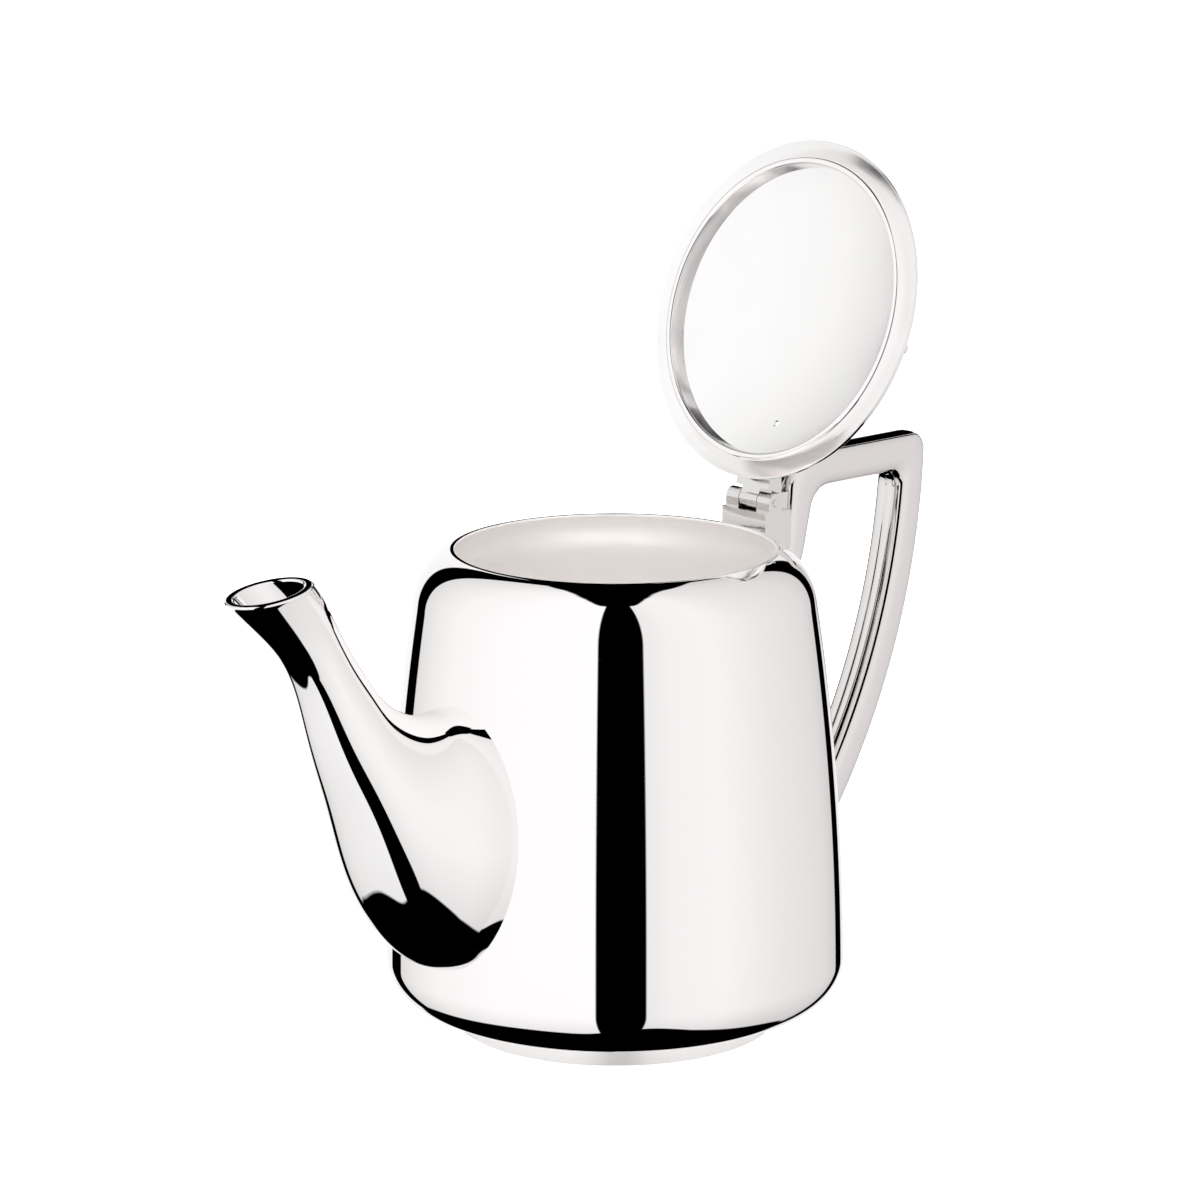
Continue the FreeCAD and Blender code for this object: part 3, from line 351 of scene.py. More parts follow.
def spline_slopes(spans: list[float], values: list[tuple[float, ...]]) -> np.ndarray:
    """Slopes of the natural cubic spline through rows of values.

    Args:
        spans: Distances between the rows.
        values: Rows of values.

    Returns:
        One row of slopes for each row of values.
    """
    rows, last = np.array(values), len(spans)
    rises = np.diff(rows, axis=0) / np.array(spans)[:, None]
    matrix, right = np.zeros((last + 1, last + 1)), np.zeros_like(rows)
    matrix[0, :2], right[0] = (2, 1), 3 * rises[0]
    matrix[last, last - 1:], right[last] = (1, 2), 3 * rises[-1]
    for i in range(1, last):
        before, after = spans[i - 1], spans[i]
        matrix[i, i - 1:i + 2] = after, 2 * (before + after), before
        right[i] = 3 * (after * rises[i - 1] + before * rises[i])
    return np.linalg.solve(matrix, right)


def mesh_object(name: str, points: list[Vector], faces: list[list[int]]) -> Object:
    """Make a smooth mesh object with crisp corners.

    Args:
        name: Name of the piece.
        points: Vertices in metres.
        faces: Vertex numbers of each face.

    Returns:
        The linked object.
    """
    mesh = bpy.data.meshes.new(name)
    mesh.from_pydata(points, [], faces)
    merged = bmesh.new()
    merged.from_mesh(mesh)
    bmesh.ops.remove_doubles(merged, verts=merged.verts, dist=MERGE_DISTANCE)
    bmesh.ops.recalc_face_normals(merged, faces=merged.faces)
    merged.to_mesh(mesh)
    merged.free()
    mesh.shade_smooth()
    mesh.set_sharp_from_angle(angle=SHARP_ANGLE)
    piece = bpy.data.objects.new(name, mesh)
    bpy.context.scene.collection.objects.link(piece)
    return piece


def lathe(name: str, section: list[Point], turns: int = 224) -> Object:
    """Turn a closed section about the upright axis.

    Args:
        name: Name of the piece.
        section: Closed run of radius and height in millimetres.
        turns: Number of steps round the axis.

    Returns:
        The turned piece.
    """
    count = len(section)
    points = []
    for turn in range(turns):
        a = 2 * math.pi * turn / turns
        points += [Vector((r * math.cos(a), r * math.sin(a), z)) * MM for r, z in section]
    faces = []
    for turn in range(turns):
        here, there = turn * count, (turn + 1) % turns * count
        for i in range(count):
            j = (i + 1) % count
            if section[i][0] > 0 or section[j][0] > 0:
                faces.append([here + i, there + i, there + j, here + j])
    return mesh_object(name, points, faces)


def tube(name: str, rings: list[np.ndarray]) -> Object:
    """Skin a run of rings that all have the same number of points.

    Args:
        name: Name of the piece.
        rings: Rows of points in millimetres, ring after ring.

    Returns:
        The open-ended piece.
    """
    size = len(rings[0])
    faces = []
    for here in range(0, (len(rings) - 1) * size, size):
        faces += [[here + i, here + size + i, here + size + (i + 1) % size, here + (i + 1) % size]
                  for i in range(size)]
    return mesh_object(name, [Vector(p) * MM for ring in rings for p in ring], faces)


def drill(piece: Object, spots: list[Vector], width: float, along: Matrix) -> None:
    """Drill round holes through a piece.

    Args:
        piece: The piece.
        spots: Centres of the holes in millimetres.
        width: Diameter in millimetres.
        along: Rotation that takes the upright axis to the holes' axis.
    """
    bits = bmesh.new()
    for spot in spots:
        bmesh.ops.create_cone(bits, segments=32, radius1=width / 2 * MM, radius2=width / 2 * MM,
                              depth=4 * width * MM, cap_ends=True,
                              matrix=Matrix.Translation(spot * MM) @ along)
    mesh = bpy.data.meshes.new("drill_bits")
    bits.to_mesh(mesh)
    bits.free()
    bit = bpy.data.objects.new("drill_bits", mesh)
    bpy.context.scene.collection.objects.link(bit)
    holes = piece.modifiers.new("holes", "BOOLEAN")
    holes.operation = "DIFFERENCE"
    holes.object = bit
    with bpy.context.temp_override(object=piece, active_object=piece):
        bpy.ops.object.modifier_apply(modifier=holes.name)
    bpy.data.objects.remove(bit)


def split_finish(piece: Object, height: float) -> None:
    """Give faces that look towards a place on the axis the second finish.

    Args:
        piece: The piece, still upright.
        height: Height of the place in millimetres.
    """
    middle = Vector((0, 0, height * MM))
    for face in piece.data.polygons:
        face.material_index = 1 if (face.center - middle).dot(face.normal) < 0 else 0


def dress(piece: Object, body: Body, slot: Slot, *materials: Material) -> None:
    """Give a new piece its finishes and let it ride on a body.

    Args:
        piece: The piece.
        body: Body that it moves with.
        slot: Material slot of the record; not used.
        materials: Finishes in the order of the piece's material numbers.
    """
    for material in materials:
        piece.data.materials.append(material)
    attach(piece, body.value)
    LOG.info("%s rides on %s", piece.name, body.value)


@dataclass
class Pot:
    """Spun pot with its foot; sizes in millimetres.

    Attributes:
        lip_start: Where the outside turns into the lip, in walls from the opening.
        side_bow_radius: Radius of the slight bow of the side.
        belly_height: Height of the widest place, where the bow has its centre.
        inside_middle: Height in the pot from which faces count as turned inwards.
        hole_rows: Number of holes in each row of the strainer.
        side: Centre of the side's bow.
        shoulder: Centre of the shoulder's arc.
        corner: Centre of the bottom corner's arc.
    """

    opening_radius: float = 36.0
    rim_height: float = 109.3
    wall: float = 0.9
    lip_start: float = 1.4
    lip_round: float = 0.15
    inside_middle: float = 50.0
    shoulder_radius: float = 15.65
    belly_radius: float = 52.0
    belly_height: float = 6.6
    side_bow_radius: float = 608.0
    corner_radius: float = 10.0
    foot_height: float = 5.6
    foot_radius: float = 36.3
    foot_taper: float = 0.6
    foot_wall: float = 1.4
    foot_flange: float = 4.5
    hole: float = 4.0
    hole_pitch: float = 6.4
    hole_height: float = 54.0
    hole_rows: tuple[int, ...] = (3, 4, 5, 4, 3)
    base_steps: int = 24
    side: Point = field(init=False)
    shoulder: Point = field(init=False)
    corner: Point = field(init=False)

    def __post_init__(self) -> None:
        """Work out the tangent circles of the side."""
        self.side = (self.belly_radius - self.side_bow_radius, self.belly_height)
        rim = (self.opening_radius + self.wall, self.rim_height)
        reach = self.side_bow_radius - self.shoulder_radius
        away = math.dist(self.side, rim)
        along = (reach ** 2 - self.shoulder_radius ** 2 + away ** 2) / (2 * away)
        beside = math.sqrt(reach ** 2 - along ** 2)
        ux, uz = (rim[0] - self.side[0]) / away, (rim[1] - self.side[1]) / away
        self.shoulder = (self.side[0] + along * ux + beside * uz,
                         self.side[1] + along * uz - beside * ux)
        level = self.foot_height + self.corner_radius
        low = self.side_bow_radius - self.corner_radius
        self.corner = (self.side[0] + math.sqrt(low ** 2 - (level - self.belly_height) ** 2), level)

    def skin(self, inset: float, lip: float) -> list[Point]:
        """Section of the pot's side from its bottom up to the lip.

        Args:
            inset: Distance inside the outer surface.
            lip: Radius at which the section ends.

        Returns:
            Points from the axis outwards and up.
        """
        high, low = angle_of(self.side, self.shoulder), angle_of(self.side, self.corner)
        crown = self.shoulder_radius - inset
        lip_angle = math.degrees(math.acos((lip - self.shoulder[0]) / crown))
        base = self.foot_height + inset
        run = [(self.corner[0] * i / self.base_steps, base) for i in range(self.base_steps)]
        run += arc(self.corner, self.corner_radius - inset, -90, low)
        run += arc(self.side, self.side_bow_radius - inset, low, high, steps=96)[1:]
        return run + arc(self.shoulder, crown, high, lip_angle, steps=32)[1:]

    def radius_at(self, height: float | np.ndarray) -> np.ndarray:
        """Outer radius of the side, without the rounded bottom.

        Args:
            height: One height or many.

        Returns:
            The radius at each height.
        """
        high = math.radians(angle_of(self.side, self.shoulder))
        rise = np.minimum(np.abs(height - self.shoulder[1]), self.shoulder_radius)
        crown = self.shoulder[0] + np.sqrt(self.shoulder_radius ** 2 - rise ** 2)
        side = self.side[0] + np.sqrt(self.side_bow_radius ** 2 - (height - self.belly_height) ** 2)
        return np.where(height > self.shoulder[1] + self.shoulder_radius * math.sin(high), crown, side)

    def build_body(self, polished: Material, frosted: Material) -> None:
        """Build the pot, mirror-bright outside and frosted inside.

        Args:
            polished: Finish of the outside.
            frosted: Finish of the inside.
        """
        outer = self.skin(0, self.opening_radius + self.lip_start * self.wall)
        inner = self.skin(self.wall, self.opening_radius)
        near, far, top = self.opening_radius, self.opening_radius + self.wall, self.rim_height
        lip = rounded(outer[-1], (far, top), (far - self.lip_round, top))
        lip += rounded((near + self.lip_round, top), (near, top), (near, top - self.lip_round))
        piece = lathe("pot_skin", outer + lip[1:] + inner[::-1])
        split_finish(piece, self.inside_middle)
        drill(piece, self.strainer_spots(), self.hole, Matrix.Rotation(math.pi / 2, 4, "Y"))
        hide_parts("body_shell")
        dress(piece, Body.POT, Slot.POLISHED, polished, frosted)

    def strainer_spots(self) -> list[Vector]:
        """Lay out the holes pierced behind the spout.

        Returns:
            Centres of the holes, row above row.
        """
        spots = []
        for row, count in enumerate(self.hole_rows):
            rise = (row - len(self.hole_rows) // 2) * self.hole_pitch * math.sqrt(3) / 2
            for place in range(count):
                y = (place - (count - 1) / 2) * self.hole_pitch
                spots.append(Vector((-self.belly_radius, y, self.hole_height + rise)))
        return spots

    def build_foot(self, frosted: Material) -> None:
        """Build the foot ring.

        Args:
            frosted: Its finish.
        """
        edge = self.foot_wall / 4
        top, flange = self.foot_radius - self.foot_taper, self.foot_radius - self.foot_flange
        under = self.foot_height - self.foot_wall
        section = arc((self.foot_radius - edge, edge), edge, -90, 0, steps=6)
        section += [(top, self.foot_height), (flange, self.foot_height), (flange, under)]
        section += [(top - self.foot_wall, under)]
        section += arc((self.foot_radius - self.foot_wall + edge, edge), edge, 180, 270, steps=6)
        piece = lathe("foot_skin", section)
        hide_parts("foot_ring")
        dress(piece, Body.POT, Slot.SATIN, frosted)


@dataclass
class Section:
    """One oval section of the spout in millimetres, with its plane's lean in degrees."""

    reach: float
    height: float
    lean: float
    depth: float
    width: float

    def values(self) -> tuple[float, ...]:
        """The five sizes in order."""
        return self.reach, self.height, self.lean, self.depth, self.width


@dataclass
class Spout:
    """S-curved spout, swept through oval sections from its root to its mouth.

    Attributes:
        wall: Thickness of the wall, which grows to that of the lip over the last span.
        rows: Number of rings along each side of the wall.
        columns: Number of points round each ring.
        trim_reach: Number of spans from the root within which the spout leaves the pot.
        trim_steps: Number of halvings that find where it leaves.
        spans: Distances between the sections.
        slopes: Slopes of the sections' sizes along the spout.
    """

    wall: float = 1.2
    lip: float = 1.9
    lip_round: float = 0.5
    lip_steps: int = 6
    rows: int = 130
    columns: int = 160
    trim_reach: float = 2.5
    trim_steps: int = 40
    sections: list[Section] = field(default_factory=lambda: [
        Section(39.3, 51.2, 94.9, 59.0, 38.0),
        Section(54.8, 52.5, 83.5, 57.0, 36.5),
        Section(67.6, 62.2, 70.4, 40.8, 27.6),
        Section(77.6, 77.9, 66.7, 25.9, 19.5),
        Section(83.5, 91.5, 43.0, 16.4, 14.5),
        Section(91.7, 106.1, 28.7, 15.6, 13.4),
        Section(99.6, 114.8, 8.5, 20.5, 16.1),
    ])
    spans: list[float] = field(init=False)
    slopes: np.ndarray = field(init=False)

    def __post_init__(self) -> None:
        """Work out the spline through the sections, spaced by the distance between them."""
        places = [(s.reach, s.height) for s in self.sections]
        self.spans = [math.dist(a, b) for a, b in zip(places, places[1:])]
        self.slopes = spline_slopes(self.spans, [s.values() for s in self.sections])

    def at(self, along: np.ndarray) -> np.ndarray:
        """Sizes of sections on a smooth curve through the given ones.

        Args:
            along: Places from 0 at the root to the number of spans at the mouth.

        Returns:
            Rows of reach, height, lean, depth and width.
        """
        table = np.array([s.values() for s in self.sections])
        i = np.minimum(along.astype(int), len(self.spans) - 1)
        t, span = (along - i)[:, None], np.array(self.spans)[i][:, None]
        sizes = ((2 * t ** 3 - 3 * t ** 2 + 1) * table[i] + (3 * t ** 2 - 2 * t ** 3) * table[i + 1]
                 + (t ** 3 - 2 * t ** 2 + t) * span * self.slopes[i]
                 + (t ** 3 - t ** 2) * span * self.slopes[i + 1])
        return sizes.T

    def ring(self, along: np.ndarray, inset: float | np.ndarray, drop: float = 0.0) -> np.ndarray:
        """One ring of points of the spout's skin.

        Args:
            along: Place along the spout of each column.
            inset: Distance inside the outer skin.
            drop: Distance below the section's plane.

        Returns:
            Rows of points in millimetres.
        """
        turn = 2 * np.pi * np.arange(self.columns) / self.columns
        reach, height, lean, depth, width = self.at(along)
        lean = np.radians(lean)
        deep = (depth / 2 - inset) * np.cos(turn)
        return np.column_stack((-reach + deep * np.cos(lean) + drop * np.sin(lean),
                                (width / 2 - inset) * np.sin(turn),
                                height + deep * np.sin(lean) - drop * np.cos(lean)))

    def start(self, inset: float, pot: Pot) -> np.ndarray:
        """Where each column leaves the pot's side.

        Args:
            inset: Distance inside the outer skin.
            pot: The pot that trims the spout.

        Returns:
            Places along the spout.
        """
        low, high = np.zeros(self.columns), np.full(self.columns, self.trim_reach)
        for _ in range(self.trim_steps):
            middle = (low + high) / 2
            spots = self.ring(middle, inset)
            buried = np.hypot(spots[:, 0], spots[:, 1]) < pot.radius_at(spots[:, 2])
            low, high = np.where(buried, middle, low), np.where(buried, high, middle)
        return low

    def build(self, pot: Pot, polished: Material) -> None:
        """Build the spout as one skin, its solder seam polished away.

        Args:
            pot: The pot that trims its root.
            polished: Its finish.
        """
        mouth = np.full(self.columns, float(len(self.spans)))
        first, r = self.start(0.0, pot), self.lip_round
        rings = [self.ring(first + (mouth - first) * i / self.rows, 0.0) for i in range(self.rows)]
        bends = [math.pi / 2 * k / self.lip_steps for k in range(self.lip_steps + 1)]
        rings[-1:] = [self.ring(mouth, r * (1 - math.cos(a)), r * (1 - math.sin(a))) for a in bends]
        rings += [self.ring(mouth, self.lip - r * (1 - math.sin(a)), r * (1 - math.cos(a)))
                  for a in bends]
        first = self.start(self.wall, pot)
        for i in range(1, self.rows):
            place = mouth - (mouth - first) * i / (self.rows - 1)
            thick = self.wall + (self.lip - self.wall) * np.maximum(place - mouth + 1, 0)
            rings.append(self.ring(place, thick))
        piece = tube("spout_skin", rings)
        # The polished side of the pot shows the studio alone.
        piece.visible_glossy = False
        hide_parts("spout_left_half", "spout_right_half")
        dress(piece, Body.POT, Slot.POLISHED, polished)


@dataclass
class Handle:
    """Handle with a neck off the shoulder, a level bar and a bowed grip; sizes in millimetres.

    Attributes:
        top: Height of the bar's upper edge.
        fullness: Power of the section, which is an ellipse at 2 and squarer above.
        bend: Centre of the bend from the shoulder up into the neck.
        crown_radius: Radius from the neck into the bar on the outside.
        hollow_radius: Radius from the neck into the bar on the inside.
        grip: Centre of the grip's curve.
        corner_radius: Radius from the bar into the grip on the outside.
        crook_radius: Radius from the bar into the grip on the inside.
        root: Reach of the neck's buried end.
        foot: Reach of the grip's buried end.
        seam_turns: Extra angles beside the seam, in radians.
        steps: Number of chords in each bend.
        straight_from: Shortest gap between bends that gets points of its own.
        columns: Number of even steps round the section.
        trim_steps: Number of halvings that find where a line leaves the pot.
    """

    top: float = 123.5
    bar_depth: float = 8.7
    width: float = 9.4
    fullness: float = 3.1
    bend: Point = (45.5, 103.5)
    bend_radius: float = 4.0
    neck_depth: float = 7.5
    front_lean: float = 6.0
    back_lean: float = 14.0
    crown_radius: float = 9.0
    hollow_radius: float = 6.0
    grip: Point = (-57.6, 125.4)
    grip_radius: float = 154.4
    grip_depth: float = 8.9
    corner_radius: float = 3.3
    crook_radius: float = 3.5
    root: float = 36.0
    foot: float = 43.1
    seam_depth: float = 0.16
    seam_width: float = 0.3
    seam_turns: tuple[float, ...] = (0.0, 0.004, 0.012, 0.03)
    steps: int = 24
    straight_from: float = 0.24
    columns: int = 72
    trim_steps: int = 30

    def side(self, bend: float, lean: float, level: float, rounding: float, grip: float,
             corner: float) -> list[Point]:
        """One edge of the handle's side view from the shoulder round to the grip's foot.

        Args:
            bend: Radius of the neck bend.
            lean: Lean of the neck in degrees.
            level: Height of the bar's edge.
            rounding: Radius from the neck into the bar.
            grip: Radius of the grip's curve.
            corner: Radius from the bar into the grip.

        Returns:
            The same number of points for every edge, so that two edges pair up.
        """
        c, d = math.cos(math.radians(lean)), math.sin(math.radians(lean))
        low = (self.bend[0] + bend * c, self.bend[1] - bend * d)
        run = (level - rounding + rounding * d - low[1]) / c
        turn_in = (low[0] + run * d + rounding * c, level - rounding)
        drop = level - corner - self.grip[1]
        turn_out = (self.grip[0] + math.sqrt((grip - corner) ** 2 - drop ** 2), level - corner)
        last = -math.degrees(math.acos((self.foot - self.grip[0]) / grip))
        away = angle_of(self.grip, turn_out)
        bends = [arc(self.bend, bend, -90, -lean, self.steps),
                 arc(turn_in, rounding, 180 - lean, 90, self.steps),
                 arc(turn_out, corner, 90, away, self.steps),
                 arc(self.grip, grip, away, last, 3 * self.steps)]
        edge = [(self.root, self.bend[1] - bend)]
        for part in bends:
            a, b = edge[-1], part[0]
            fill = self.steps if math.dist(a, b) > self.straight_from else 1
            edge += [(a[0] + (b[0] - a[0]) * i / fill, a[1] + (b[1] - a[1]) * i / fill)
                     for i in range(1, fill)] + part
        return edge

    def turns(self) -> list[float]:
        """Lay out the section's points.

        Returns:
            Angles round the section, close together at the seam on the inside.
        """
        angles = {2 * math.pi * i / self.columns for i in range(self.columns)}
        return sorted(angles | {math.pi + side * a for a in self.seam_turns for side in (1, -1)})

    def build(self, pot: Pot, polished: Material) -> None:
        """Build the handle as one skin with the solder seam along its inside.

        Args:
            pot: The pot that trims its ends.
            polished: Its finish.
        """
        outer = self.side(self.bend_radius, self.front_lean, self.top, self.crown_radius,
                          self.grip_radius, self.corner_radius)
        inner = self.side(self.bend_radius + self.neck_depth, self.back_lean, self.top - self.bar_depth,
                          self.hollow_radius, self.grip_radius - self.grip_depth, self.crook_radius)
        lines = []
        for turn in self.turns():
            c, s = math.cos(turn), math.sin(turn)
            across = math.copysign(abs(c) ** (2 / self.fullness), c)
            beside = self.width / 2 * math.copysign(abs(s) ** (2 / self.fullness), s)
            groove = self.seam_depth * math.exp(-(beside / self.seam_width) ** 2) if c < 0 else 0.0
            line = []
            for far, near in zip(outer, inner):
                out = Vector((far[0] - near[0], far[1] - near[1]))
                spot = Vector((far[0] + near[0], far[1] + near[1])) / 2 + out * across / 2
                spot += out.normalized() * groove
                line.append(Vector((spot.x, beside, spot.y)))
            lines.append(self.trim(line, pot))
        piece = tube("handle_skin", [np.array(ring) for ring in zip(*lines)])
        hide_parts("handle_left_half", "handle_right_half")
        dress(piece, Body.POT, Slot.POLISHED, polished)

    def trim(self, line: list[Vector], pot: Pot) -> list[Vector]:
        """Pull the ends of a line that lie within the pot out to its side.

        Args:
            line: Points along the handle.
            pot: The pot.

        Returns:
            As many points, none within the pot.
        """
        free = [i for i, p in enumerate(line) if math.hypot(p.x, p.y) > pot.radius_at(p.z)]
        first, last = free[0], free[-1]
        ends = []
        for buried, clear in ((first - 1, first), (last + 1, last)):
            low, high = line[min(max(buried, 0), len(line) - 1)], line[clear]
            for _ in range(self.trim_steps):
                middle = (low + high) / 2
                if math.hypot(middle.x, middle.y) < pot.radius_at(middle.z):
                    low = middle
                else:
                    high = middle
            ends.append(high)
        return [ends[0]] * first + line[first:last + 1] + [ends[1]] * (len(line) - last - 1)


@dataclass
class Lid:
    """Spun lid with its bezel and turned knob, drawn shut and swung open on the hinge.

    Attributes:
        dome_radius: Radius of the dome's underside.
        sheet: Thickness of the dome.
        seat_gap: Gap under the shut lid.
        bezel_drop: How far the bezel reaches below the lid's edge.
        vent_reach: Distance of the steam hole from the middle.
        knob_height: Height of the knob; all its heights start at the top of the dome.
        hinge_setback: Distance of the pin from the lid's edge.
        hinge_rise: Height of the pin above the rim.
        open_angle: Angle in degrees from shut to open.
    """

    radius: float = 39.5
    dome_radius: float = 72.5
    sheet: float = 0.9
    seat_gap: float = 0.4
    bezel_clearance: float = 0.6
    bezel_thickness: float = 1.7
    bezel_drop: float = 1.3
    edge_round: float = 0.36
    vent_hole: float = 1.5
    vent_reach: float = 25.5
    knob_height: float = 30.9
    knob_foot_radius: float = 6.2
    knob_foot_height: float = 1.5
    knob_step: float = 0.8
    knob_neck_radius: float = 2.5
    knob_neck_height: float = 8.0
    knob_bulb_radius: float = 7.3
    knob_collar_radius: float = 1.3
    knob_collar_height: float = 25.6
    knob_tip_radius: float = 1.5
    knob_turns: int = 96
    hinge_setback: float = 3.95
    hinge_rise: float = 4.9
    open_angle: float = 109.4

    def centre(self, pot: Pot) -> float:
        """Seat the shut lid on the rim or the shoulder, whichever it meets first.

        Args:
            pot: The pot that the lid shuts.

        Returns:
            Height of the dome's centre.
        """
        seats = [(pot.opening_radius + pot.wall, pot.rim_height)]
        away = math.sqrt(pot.shoulder_radius ** 2 - (self.radius - pot.shoulder[0]) ** 2)
        seats.append((self.radius, pot.shoulder[1] + away))
        return max(z - math.sqrt(self.dome_radius ** 2 - r ** 2) for r, z in seats) + self.seat_gap

    def swing(self, piece: Object, pot: Pot) -> None:
        """Turn a piece that was drawn shut to the open lid's place.

        Args:
            piece: The piece.
            pot: The pot that carries the hinge.
        """
        pin = Vector((self.radius + self.hinge_setback, 0, pot.rim_height + self.hinge_rise)) * MM
        turn = Matrix.Rotation(math.radians(self.open_angle), 4, "Y")
        piece.matrix_world = Matrix.Translation(pin) @ turn @ Matrix.Translation(-pin)
        bpy.context.view_layer.update()

    def build_cover(self, pot: Pot, polished: Material, turned: Material) -> None:
        """Build the dome, mirror-bright above and turned below.

        Args:
            pot: The pot that the lid shuts.
            polished: Finish of the outside.
            turned: Finish of the underside.
        """
        middle, edge = self.centre(pot), self.edge_round
        outer, inner = self.dome_radius + self.sheet, self.dome_radius
        over = math.degrees(math.acos(self.radius / outer))
        under = math.degrees(math.acos(self.radius / inner))
        top = arc((0, middle), outer, 90, over + math.degrees(edge / outer), steps=72)
        low = arc((0, middle), inner, under + math.degrees(edge / inner), 90, steps=72)
        rim = [(self.radius, middle + outer * math.sin(math.radians(over)) - edge),
               (self.radius, middle + inner * math.sin(math.radians(under)) + edge)]
        section = top + rounded(top[-1], (self.radius, rim[0][1] + edge), rim[0])
        section += rounded(rim[1], (self.radius, rim[1][1] - edge), low[0]) + low
        piece = lathe("lid_skin", on_axis(section))
        split_finish(piece, middle)
        hole = Vector((self.vent_reach, 0, middle + math.sqrt(inner ** 2 - self.vent_reach ** 2)))
        drill(piece, [hole], self.vent_hole, Matrix.Identity(4))
        self.swing(piece, pot)
        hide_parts("lid_cover")
        dress(piece, Body.LID, Slot.POLISHED, polished, turned)

    def build_bezel(self, pot: Pot, polished: Material) -> None:
        """Build the ring that locates the lid in the mouth.

        Args:
            pot: The pot that the lid shuts.
            polished: Its finish.
        """
        middle = self.centre(pot)
        outer = pot.opening_radius - self.bezel_clearance
        inner, half = outer - self.bezel_thickness, self.bezel_thickness / 2
        low = middle + math.sqrt(self.dome_radius ** 2 - self.radius ** 2) - self.bezel_drop + half
        section = arc((outer - half, low), half, 0, -180, steps=20)
        section += arc((0, middle), self.dome_radius, math.degrees(math.acos(inner / self.dome_radius)),
                       math.degrees(math.acos(outer / self.dome_radius)), steps=4)
        piece = lathe("bezel_skin", section)
        self.swing(piece, pot)
        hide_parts("lid_bezel")
        dress(piece, Body.LID, Slot.SATIN, polished)

    def build_knob(self, pot: Pot, polished: Material) -> None:
        """Build the turned knob.

        Args:
            pot: The pot that the lid shuts.
            polished: Its finish.
        """
        dome = self.dome_radius + self.sheet
        middle = self.centre(pot)
        top = middle + dome
        foot, step, tip = self.knob_foot_radius, self.knob_step, self.knob_tip_radius
        ledge = (foot - step, top + self.knob_foot_height)
        neck = (self.knob_neck_radius, top + self.knob_neck_height)
        collar = (self.knob_collar_radius, top + self.knob_collar_height)
        # The neck curves in from the ledge, inside a straight line.
        waist = ((ledge[0] + 3 * neck[0]) / 4, (3 * ledge[1] + 2 * neck[1]) / 5)
        bulge = (self.knob_bulb_radius, (neck[1] + collar[1]) / 2)
        ball = top + self.knob_height - tip
        section = arc((0, middle), dome, 90, math.degrees(math.acos(foot / dome)), steps=8)
        section += arc((ledge[0], ledge[1] - step), step, 0, 90, steps=8)
        section += arc_through(ledge, waist, neck)[1:]
        section += arc_through(neck, bulge, collar)[1:]
        section += arc((0, ball), tip, math.degrees(math.asin(collar[0] / tip)) - 90, 90)
        piece = lathe("knob_skin", on_axis(section), self.knob_turns)
        self.swing(piece, pot)
        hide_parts("lid_knob")
        dress(piece, Body.LID, Slot.POLISHED, polished)


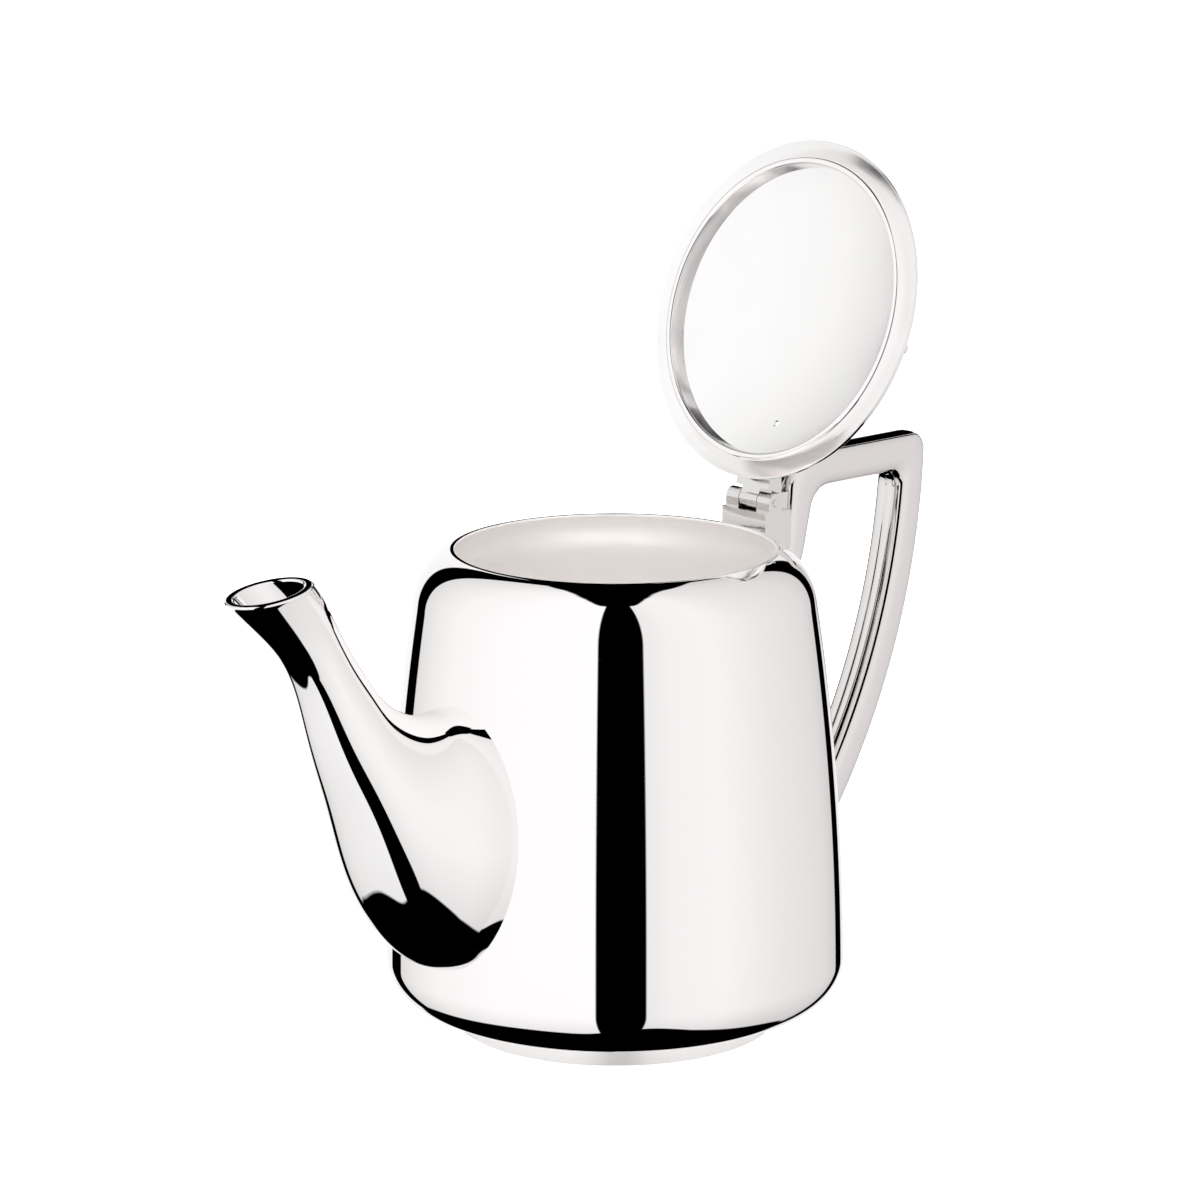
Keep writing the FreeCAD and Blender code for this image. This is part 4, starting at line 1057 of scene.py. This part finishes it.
@dataclass
class Studio:
    """Camera and light: two tall softboxes with a dark gap at the camera.

    Angles are in degrees: round the compass from the camera's side, and up from level.

    Attributes:
        strength: Strength of the softboxes.
        panels: Angles round and sRGB hex colours of the softboxes.
        gaps: Middles and half widths of the dark gaps.
        gap_softness: Width of the gaps' soft edges.
        panel_tops: Angles round and heights at which the softboxes end above.
        panel_feet: Angles round and heights at which they end below.
        edge_softness: Width of their soft upper and lower edges.
        dim_from: Height below which they dim.
        dim_to: Height at which they are dimmest.
        dimmest: Share of the light that is left there.
    """

    camera_place: tuple[float, float, float] = (-740.0, -789.4, 348.3)
    camera_turn: float = -42.97
    camera_pitch: float = 13.06
    lens: float = 149.03
    sensor: float = 36.0
    floor_reach: float = 9000.0
    floor_colour: str = "F2F2F2"
    floor_roughness: float = 0.9
    floor_glow: float = 0.75
    strength: float = 1.05
    lamp_size: float = 260.0
    lamp_height: float = 620.0
    lamp_power: float = 9.5
    panels: list[tuple[float, str]] = field(default_factory=lambda: [
        (-180, "FCFCFC"), (-152, "F4F4F4"), (-135, "DEDEDD"), (-120, "EBEBEA"), (-100, "F6F6F5"),
        (-60, "FCFCFC"), (-10, "FDFDFD"), (16, "EAEAE9"), (30, "F2F1F1"), (55, "F5F4F4"), (90, "E9E7E7"),
        (130, "DEDCDC"), (146, "D0CECE"), (159, "E8E8E8"), (180, "FCFCFC")])
    gaps: list[Point] = field(default_factory=lambda: [(-143.5, 7.5), (3.0, 12.5), (152.5, 6.0)])
    gap_softness: float = 0.8
    panel_tops: list[Point] = field(default_factory=lambda: [
        (-180, 5), (-170, 8), (-160, 42), (-148, 60), (-135, 65), (-120, 74), (-90, 78), (-50, 76),
        (-30, 72), (-15, 66), (20, 66), (33, 72), (50, 76), (90, 79), (120, 75), (135, 66), (148, 60),
        (160, 42), (170, 8), (180, 5)])
    panel_feet: list[Point] = field(default_factory=lambda: [
        (-180, -33), (-140, -34), (-115, -44), (-85, -50), (-60, -52), (-35, -56), (-12, -58), (14, -38),
        (32, -44), (50, -52), (80, -57), (110, -54), (140, -44), (180, -36)])
    edge_softness: float = 1.5
    dim_from: float = -14.0
    dim_to: float = -52.0
    dimmest: float = 0.83

    def build(self) -> None:
        """Set up floor, light and camera."""
        bpy.context.scene.view_settings.view_transform = "Standard"
        self.build_floor()
        self.build_light()
        self.build_lamp()
        self.build_camera()

    def build_floor(self) -> None:
        """Lay a plain white floor that mirrors do not show, as under a lit table."""
        reach = self.floor_reach * MM
        corners = [Vector((x * reach, y * reach, 0)) for x, y in ((-1, -1), (1, -1), (1, 1), (-1, 1))]
        floor = mesh_object("studio_floor", corners, [[0, 1, 2, 3]])
        floor.visible_glossy = False
        material = bpy.data.materials.new("white_paper_sweep")
        material.use_nodes = True
        shader = material.node_tree.nodes["Principled BSDF"]
        shader.inputs["Base Color"].default_value = linear(self.floor_colour)
        shader.inputs["Roughness"].default_value = self.floor_roughness
        shader.inputs["Emission Color"].default_value = linear("FFFFFF")
        shader.inputs["Emission Strength"].default_value = self.floor_glow
        floor.data.materials.append(material)

    def build_light(self) -> None:
        """Make the softboxes and dark flags as light from all round."""
        world = bpy.data.worlds.new("two_softboxes")
        bpy.context.scene.world = world
        world.use_nodes = True
        tree = world.node_tree
        place = add_node(tree, "ShaderNodeTexCoord").outputs["Generated"]
        facing = math.atan2(self.camera_place[1], self.camera_place[0])
        turned = add_node(tree, "ShaderNodeVectorRotate", {"rotation_type": "Z_AXIS"},
                          {"Vector": place, "Angle": -facing})
        axes = add_node(tree, "ShaderNodeSeparateXYZ", inputs={0: turned.outputs[0]})
        turn = calculate(tree, "ARCTAN2", axes.outputs["Y"], axes.outputs["X"])
        rise = calculate(tree, "ARCSINE", axes.outputs["Z"])
        part = calculate(tree, "MULTIPLY_ADD", turn, 0.5 / math.pi, 0.5)
        panel = ramp_round(tree, part, [(degrees, linear(code)) for degrees, code in self.panels])
        dim = add_node(tree, "ShaderNodeMapRange", inputs={
            "Value": rise, "From Min": math.radians(self.dim_to),
            "From Max": math.radians(self.dim_from), "To Min": self.dimmest, "To Max": 1.0})
        light = multiply(tree, panel, dim.outputs["Result"])
        for middle, half in self.gaps:
            light = multiply(tree, light, self.beside_gap(tree, turn, middle, half))
        for limits, side in ((self.panel_tops, -1.0), (self.panel_feet, 1.0)):
            light = multiply(tree, light, self.within_limit(tree, part, rise, limits, side))
        background = tree.nodes["Background"]
        tree.links.new(light, background.inputs["Color"])
        background.inputs["Strength"].default_value = self.strength

    def beside_gap(self, tree: NodeTree, turn: NodeSocket, middle: float, half: float) -> NodeSocket:
        """Add the nodes of one dark gap.

        Args:
            tree: Node tree of the light.
            turn: Angle round in radians.
            middle: Middle of the gap in degrees.
            half: Half its width in degrees.

        Returns:
            0 in the gap and 1 beside it.
        """
        off = calculate(tree, "SUBTRACT", turn, math.radians(middle))
        return calculate(tree, "MULTIPLY_ADD", calculate(tree, "ABSOLUTE", off),
                         1 / math.radians(self.gap_softness), 0.5 - half / self.gap_softness, clamp=True)

    def within_limit(self, tree: NodeTree, part: NodeSocket, rise: NodeSocket, limits: list[Point],
                     side: float) -> NodeSocket:
        """Add the nodes of the softboxes' upper or lower end.

        Args:
            tree: Node tree of the light.
            part: Part of the full turn, from 0 to 1.
            rise: Angle up from level in radians.
            limits: Angles round and heights of the end in degrees.
            side: 1 where the light lies above the end, -1 where it lies below.

        Returns:
            1 on the light's side of the end and 0 past it.
        """
        # The ramp holds grey from 0 for straight down to 1 for straight up.
        grey = ramp_round(tree, part, [(degrees, ((height + 90) / 180,) * 3 + (1.0,))
                                       for degrees, height in limits], "B_SPLINE")
        height = calculate(tree, "MULTIPLY_ADD", grey, math.pi, -math.pi / 2)
        away = calculate(tree, "SUBTRACT", rise, height)
        return calculate(tree, "MULTIPLY_ADD", away, side / math.radians(self.edge_softness), 0.5,
                         clamp=True)

    def build_lamp(self) -> None:
        """Hang a soft lamp over the mouth, which lights the frosted inside."""
        data = bpy.data.lights.new("overhead_softbox", "AREA")
        data.size = self.lamp_size * MM
        data.energy = self.lamp_power
        lamp = bpy.data.objects.new("overhead_softbox", data)
        lamp.location = Vector((0, 0, self.lamp_height)) * MM
        lamp.visible_glossy = False
        bpy.context.scene.collection.objects.link(lamp)

    def build_camera(self) -> None:
        """Place the camera where the photograph was taken."""
        data = bpy.data.cameras.new("camera")
        data.lens = self.lens
        data.sensor_width = self.sensor
        camera = bpy.data.objects.new("camera", data)
        bpy.context.scene.collection.objects.link(camera)
        pose = Matrix.Rotation(math.radians(self.camera_turn), 4, "Z")
        pose @= Matrix.Rotation(math.radians(90 - self.camera_pitch), 4, "X")
        camera.matrix_world = Matrix.Translation(Vector(self.camera_place) * MM) @ pose
        bpy.context.scene.camera = camera


def dress_frame(nodes: dict[str, Object], finishes: dict[str, Material]) -> None:
    """Give the CAD nodes that stay in view their finishes.

    Args:
        nodes: CAD objects by name.
        finishes: Material for each node that stays.
    """
    for name, material in finishes.items():
        mesh = nodes[name].data
        mesh.materials.clear()
        mesh.materials.append(material)
        LOG.info("%s is %s", name, material.name)


def main() -> None:
    """Build the studio and every piece."""
    logging.basicConfig(level=logging.INFO)
    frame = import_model()
    Studio().build()
    polished, handled, turned, frosted, filed = (
        finish.build() for finish in (BUFFED, HANDLED, TURNED, FROSTED, FILED))
    pot, lid = Pot(), Lid()
    pot.build_body(polished, frosted)
    pot.build_foot(frosted)
    Spout().build(pot, polished)
    Handle().build(pot, handled)
    lid.build_cover(pot, polished, turned)
    lid.build_bezel(pot, polished)
    lid.build_knob(pot, polished)
    dress_frame(frame["nodes"], {
        "hinge_lower_leaf": filed, "hinge_upper_leaf": filed, "hinge_pin": filed})


if __name__ == "__main__":
    main()
